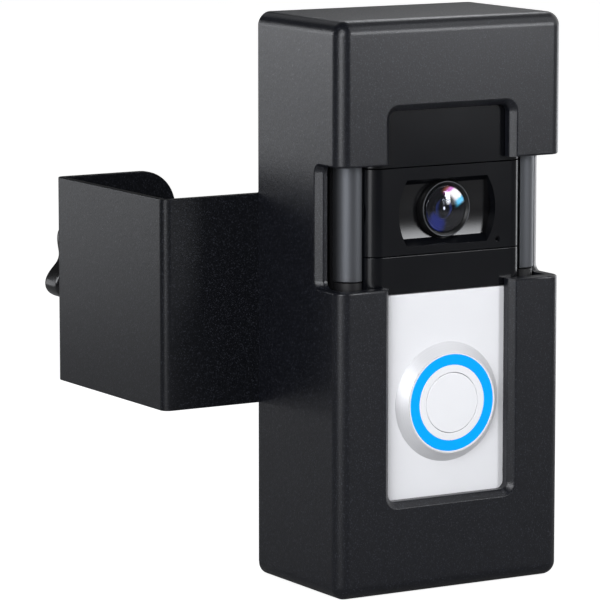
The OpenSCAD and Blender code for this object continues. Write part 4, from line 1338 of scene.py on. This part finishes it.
@dataclass
class CameraEye:
    """The drum with the wide lens, and what lies behind it."""

    centre: Pair = (0.9, 25.2)
    lens_r: float = 6.38
    grip_r: float = 6.0
    dome_r: float = 15.0
    pupil_r: float = 2.7
    glass: float = 0.5
    hollow_r: float = 34.0
    hollow_d: float = 3.0
    hollow_z: Pair = (-7.5, 7.9)
    bow: Pair = (16.2, 0.6)
    floor_t: float = 6.0

    def build(self) -> None:
        """Makes the optics from front to back."""
        self.drum()
        covered(Edge.CRISP, LENS_BLACK, "lens_barrel")
        front, back = span("lens_ring")
        deep = back + 2.2
        ring = turned("lens_ring_turned", [(7.35, front), (7.8, back), (7.8, deep), (6.05, deep),
                                           (6.05, front + 0.75), (7.1, front), (7.35, front)], self.centre, 0.1)
        placed(ring, LENS_BLACK, "lens_ring")
        # A thin silver ring on the lens ring's crest, standing in for the highlight along it: a painted highlight.
        rim = turned("lens_rim", [(7.3, front - 0.04), (7.3, front + 0.1), (7.12, front + 0.1),
                                  (7.12, front - 0.04), (7.3, front - 0.04)], self.centre, 0.04)
        placed(rim, RAIL_SILVER, "lens_ring")
        crown = span("lens_front")[0]
        dome = [(r, crown + self.dome_r - math.sqrt(self.dome_r ** 2 - r * r))
                for r in (self.grip_r * k / 14 for k in range(15))]
        line = dome + [(r, y + self.glass) for r, y in reversed(dome)]
        placed(turned("lens_dome", line, self.centre, 0.02), LENS_CLEAR, "lens_front")
        self.inside(dome[-1][1] + self.glass + 0.05)
        covered(Edge.CRISP, ZINC, "microphone")
        dressed(CHIP_BLACK, "image_sensor", "night_leds")
        dressed(BOARD_GREEN, "camera_board")
        covered(Edge.MOULDED, ZINC, "motion_sensors")

    def inside(self, rest: float) -> None:
        """Makes the bowl with painted reflections, from the Y of its rim, and the small lens in its middle with its
        painted glint.
        """
        far, rim, pupil = span("lens_iris")[1], self.lens_r, self.pupil_r
        steps = [(rim, rest), (5.7, rest), (4.9, rest + 0.25), (4.8, rest + 0.4), (4.0, rest + 0.6),
                 (3.4, rest + 0.7), (3.2, rest + 0.45), (pupil, rest + 0.5), (pupil, far), (rim, far), (rim, rest)]
        bowl = CoatedBowl("lens_black", "#08080b", self.centre)
        placed(turned("lens_bowl", steps, self.centre, 0.05), bowl, "lens_iris")
        near, far = span("lens_rear")
        tip, reach = pupil - 0.05, rest + 0.6
        eye = [(tip * k / 10, reach + 0.4 * (k / 10) ** 2) for k in range(11)]
        eye += [(tip, near), (4.5, near + 0.9), (4.5, far), (0, far)]
        # Rear lens finish with a painted glint and a painted blue reflection.
        dark_glass = PupilGlass("lens_glass", "#05060c", self.centre)
        placed(turned("lens_rear_dome", eye, self.centre, 0.05), dark_glass, "lens_rear")

    def drum(self) -> None:
        """Makes the drum, and the hollow floor round the lens that the recess opens on."""
        x, z = self.centre[0], self.centre[1] - 0.5
        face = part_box("camera_bezel")[0].y / MM
        (bow, middle), (lower, upper) = self.bow, self.hollow_z
        rise = [lower + (upper - lower) * k / 16 for k in range(17)]
        side = [middle + math.sqrt(bow ** 2 - up ** 2) for up in rise]
        outline = [(x + w, z + up) for w, up in zip(side, rise)]
        outline += [(x - w, z + up) for w, up in zip(reversed(side), reversed(rise))]
        r, behind = self.hollow_r, face + self.floor_t
        floor = prism("recess_floor", outline, face + 0.8, behind, Axis.Y)
        trough = circle(2 * r, r - 0.01, 200, (face + self.hollow_d - r, z - 1.2))
        cut(floor, prism("trough", trough, x - 20, x + 20, Axis.X))
        cut(floor, prism("hole", circle(15.9, 7.94, 16, self.centre), face - 1, behind + 1, Axis.Y))
        drum = from_solid("camera_drum", Edge.CRISP)
        wide = [(x + (u - x) * 1.01, z + (v - z) * 1.01) for u, v in outline]
        cut(drum, prism("opening", wide, face - 1, behind + 0.05, Axis.Y))
        for piece in (drum, floor):
            tidy(piece, flat=0.3)
            placed(rounded(piece, Edge.CRISP, 2, 40), DRUM_BLACK, "camera_drum")


@dataclass
class BellButton:
    """The push button with its cone, lit ring, white rings and cap."""

    centre: Pair = (0.9, -26.2)
    face: float = -43.2
    foot: float = -40.5
    board: float = -34.2
    glow_back: float = -35.8
    white_back: float = -37.35
    cone: Pair = (16.1, 13.55)
    bore_r: float = 13.35
    stem_r: float = 15.15
    light: Pair = (12.95, 10.15)
    outer_trim: Pair = (13.32, 12.98)
    white: Pair = (10.12, 8.15)
    cap_r: float = 8.0
    lip: float = -37.3
    stem: float = -38.3
    pin_r: float = 2.4
    spring_r: float = 5.6
    wire_r: float = 0.4

    def build(self, repeat: GrowTree, coil: GrowTree) -> None:
        """Makes the button from the outside inwards."""
        foot, board, at = self.foot, self.board, self.centre
        cone = self.ring("bell_cone", [(self.cone[0], foot), (self.cone[1], self.face), (self.bore_r, self.face),
                                       (self.bore_r, board), (self.stem_r, board), (self.stem_r, foot)], 0.16)
        placed(cone, SpunMetal("bezel_silver", "#ececee", at, 0.42, 0.2), "button_bezel")
        glow = GlowRing("blue_light", "#00a2ff", 0.3)
        for name, radii, back, edge, finish, node in (
                ("light_ring_lit", self.light, self.glow_back, 0.1, glow, "light_ring"),
                ("trim_outer", self.outer_trim, board, 0.06, WHITE_PLASTIC, "ring_trims"),
                ("trim_inner", self.white, self.white_back, 0.12, WHITE_PLASTIC, "ring_trims")):
            tube = [(radii[0], self.face), (radii[1], self.face), (radii[1], back), (radii[0], back)]
            placed(self.ring(name, tube, edge), finish, node)
        r, bore, lip, pin = self.cap_r, self.cap_r - 1.2, self.lip, self.pin_r
        cap = turned("bell_cap", [(0, self.face), (r, self.face), (r, lip), (r + 1, lip), (r + 1, lip + 1),
                                  (bore, lip + 1), (bore, self.face + 2), (pin, self.face + 2),
                                  (pin, self.stem), (0, self.stem)], at, 0.14)
        placed(cap, WHITE_PLASTIC, "button_cap", body="button")
        low, high = span("button_spring")
        spring = wound(coil, "bell_spring", {
            "Radius": self.spring_r * MM, "Wire": self.wire_r * MM, "Turns": 4.0,
            "Height": (high - low - 2 * self.wire_r) * MM, "Steps": 32, "Around": 10}, at, low + self.wire_r)
        placed(spring, ZINC, "button_spring")
        self.lamps(repeat)
        covered(Edge.CRISP, CHIP_BLACK, "tact_switch")
        dressed(BOARD_GREEN, "button_board")

    def ring(self, name: str, profile: list[Pair], edge: float) -> Piece:
        """Turns a closed profile about the button's axis."""
        return turned(name, [*profile, profile[0]], self.centre, edge)

    def lamps(self, repeat: GrowTree) -> None:
        """Puts twelve lamps on a circle behind the light ring."""
        reach = sum(self.light) / 2
        low, high = span("ring_leds")
        lamp = prism("lamp_part", round_outline(1.6, 1.6, 0.2, 3), 0.0, high - low, Axis.Z)
        lamp = rounded(lamp, Edge.CRISP, 2)
        spots = [(self.centre[0] + reach * math.cos(k * math.pi / 6), low,
                  self.centre[1] + reach * math.sin(k * math.pi / 6)) for k in range(12)]
        grown = repeat.grow("ring_lamps", {"Turn X": -QUARTER, "Turn step": -math.pi / 6}, LED_CREAM, lamp, spots)
        placed(grown, LED_CREAM, "ring_leds")


@dataclass
class Electronics:
    """Boards, battery and speaker inside the case."""

    def build(self) -> None:
        """Rounds what is moulded and dresses the flat boards."""
        dressed(BOARD_GREEN, "main_board")
        for node, edge, finish in (
                ("board_chips", Edge.CRISP, CHIP_BLACK), ("shield_can", Edge.MOULDED, ZINC),
                ("battery_pack", Edge.SOFT, WRAP_GREY), ("battery_contacts", Edge.CRISP, BRASS),
                ("speaker", Edge.MOULDED, CHIP_BLACK), ("speaker_gasket", Edge.CRISP, RUBBER_PAD)):
            covered(edge, finish, node)


# ---------------------------------------------------------------- studio


@dataclass(frozen=True)
class Lamp:
    """A soft square light aimed at the doorbell."""

    name: str
    place: Triple
    level: float
    size: float = 0.1

    def build(self) -> None:
        """Makes the light, whose watts follow from its brightness and its area."""
        data = bpy.data.lights.new(self.name, "AREA")
        data.shape, data.size = "SQUARE", self.size
        data.energy = self.level * math.pi * self.size ** 2
        data.color = (0.95, 0.965, 1.0)
        lamp = linked(self.name, data)
        lamp.location = self.place
        lamp.visible_camera = False
        way = Vector((0, -0.02, 0.02)) - Vector(self.place)
        lamp.rotation_euler = way.to_track_quat("-Z", "Y").to_euler()


@dataclass
class Studio:
    """Pale floor, white surroundings, soft lamps and the camera."""

    eye: Triple = (-0.58986, -0.95411, 0.16246)
    look: Triple = (0.50707, 0.84928, -0.14695)
    lens: float = 249.42
    floor_r: float = 6000.0
    lamps: tuple[Lamp, ...] = (
        Lamp("Key_left", (-0.410, -0.430, 0.155), 9.2),
        Lamp("Key_left_soft", (-0.410, -0.430, 0.155), 6.0, 0.22),
        Lamp("High_left", (-0.377, -0.336, 0.344), 3.8, 0.22),
        Lamp("Side_left", (-0.494, -0.305, 0.185), 1.9, 0.22),
        Lamp("Low_left", (-0.519, -0.320, 0.031), 3.4, 0.22),
        Lamp("Front_right", (0.30, -0.50, 0.10), 7.1),
        Lamp("Front_right_near", (0.25, -0.40, 0.15), 4.1),
        Lamp("Front_right_low", (0.306, -0.529, 0.084), 3.2),
        Lamp("Front_right_middle", (0.317, -0.508, 0.145), 2.0),
        Lamp("Front_right_high", (0.299, -0.498, 0.205), 15.0),
        Lamp("Over_right", (0.334, -0.213, 0.460), 1.0),
        Lamp("Over_front_right", (0.10, -0.15, 0.20), 1.4),
        Lamp("Over_back", (0.10, 0.15, 0.20), 1.2),
        Lamp("Over_back_right", (0.310, 0.259, 0.432), 6.5),
        Lamp("Back_right", (0.303, 0.382, 0.327), 0.7),
        Lamp("Back_left", (-0.25, 0.25, 0.10), 5.4),
        Lamp("Back_left_low", (-0.300, 0.499, -0.031), 1.55, 0.22),
        Lamp("High_back", (0.0, 0.426, 0.402), 0.4, 0.22),
        Lamp("Right_side", (0.571, -0.02, 0.185), 0.3, 0.22),
        Lamp("Right_low", (0.43, 0.08, -0.05), 3.0, 0.22),
    )

    def build(self) -> None:
        """Makes everything that isn't the object."""
        self.floor()
        self.world()
        for lamp in self.lamps:
            lamp.build()
        self.camera()
        bpy.context.scene.view_settings.view_transform = "Standard"

    def floor(self) -> None:
        """A wide disc under the object that shows white and keeps the shadow."""
        level, r = CAD_BOX[0].z / MM - 0.1, self.floor_r
        ring = [(r * math.cos(a * math.pi / 32), r * math.sin(a * math.pi / 32), level) for a in range(64)]
        disc = mesh_object("studio_floor", ring, [tuple(range(64))])
        shader = Shader("Studio_floor")
        camera_ray = shader.node("LightPath", output="Is Camera Ray")
        paper = shader.node("BsdfDiffuse", sockets={"Color": (0.3, 0.3, 0.3, 1)})
        lift = shader.node("Emission", sockets={"Color": WHITE, "Strength": 0.9})
        seen = shader.node("AddShader", sockets={0: paper, 1: lift})
        mixed = shader.node("MixShader", sockets={0: camera_ray, 1: paper, 2: seen})
        disc.data.materials.append(shader.end("Material", mixed))

    def world(self) -> None:
        """White for the camera and through glass, white on the right in gloss, and a soft even room light."""
        shader = Shader("Studio", "worlds")
        way = shader.node("TexCoord", output="Generated")
        right = shader.axis(way, Axis.X).above(0.62, 0.26)
        seen, clear, gloss, soft = (shader.node("LightPath", output=f"Is {kind} Ray")
                                    for kind in ("Camera", "Transmission", "Glossy", "Diffuse"))
        level = seen + clear * 0.2 + gloss * (0.03 + 0.97 * right) + soft * 0.35
        light = shader.node("Background", sockets={"Color": WHITE, "Strength": level})
        world = shader.end("World", light)
        world.cycles.sampling_method = "NONE"
        bpy.context.scene.world = world

    def camera(self) -> None:
        """A long lens from the lower left of the door's face."""
        data = bpy.data.cameras.new("Camera")
        data.lens, data.sensor_width = self.lens, 36.0
        data.clip_start, data.clip_end = 0.05, 50.0
        camera = linked("Camera", data)
        camera.location = self.eye
        camera.rotation_euler = Vector(self.look).to_track_quat("-Z", "Y").to_euler()
        bpy.context.scene.camera = camera


def main() -> None:
    """Builds the sub-assemblies in order."""
    logging.basicConfig(level=logging.INFO, format="%(message)s")
    repeat, coil = repeat_tree(), coil_tree()
    Studio().build()
    SecurityCover().build(repeat)
    DoorArm().build()
    ScrewClamp().build(coil)
    Cushions().build()
    DoorbellCase().build(repeat)
    FrontPanels().build(repeat)
    CameraEye().build()
    BellButton().build(repeat, coil)
    Electronics().build()


if __name__ == "__main__":
    main()
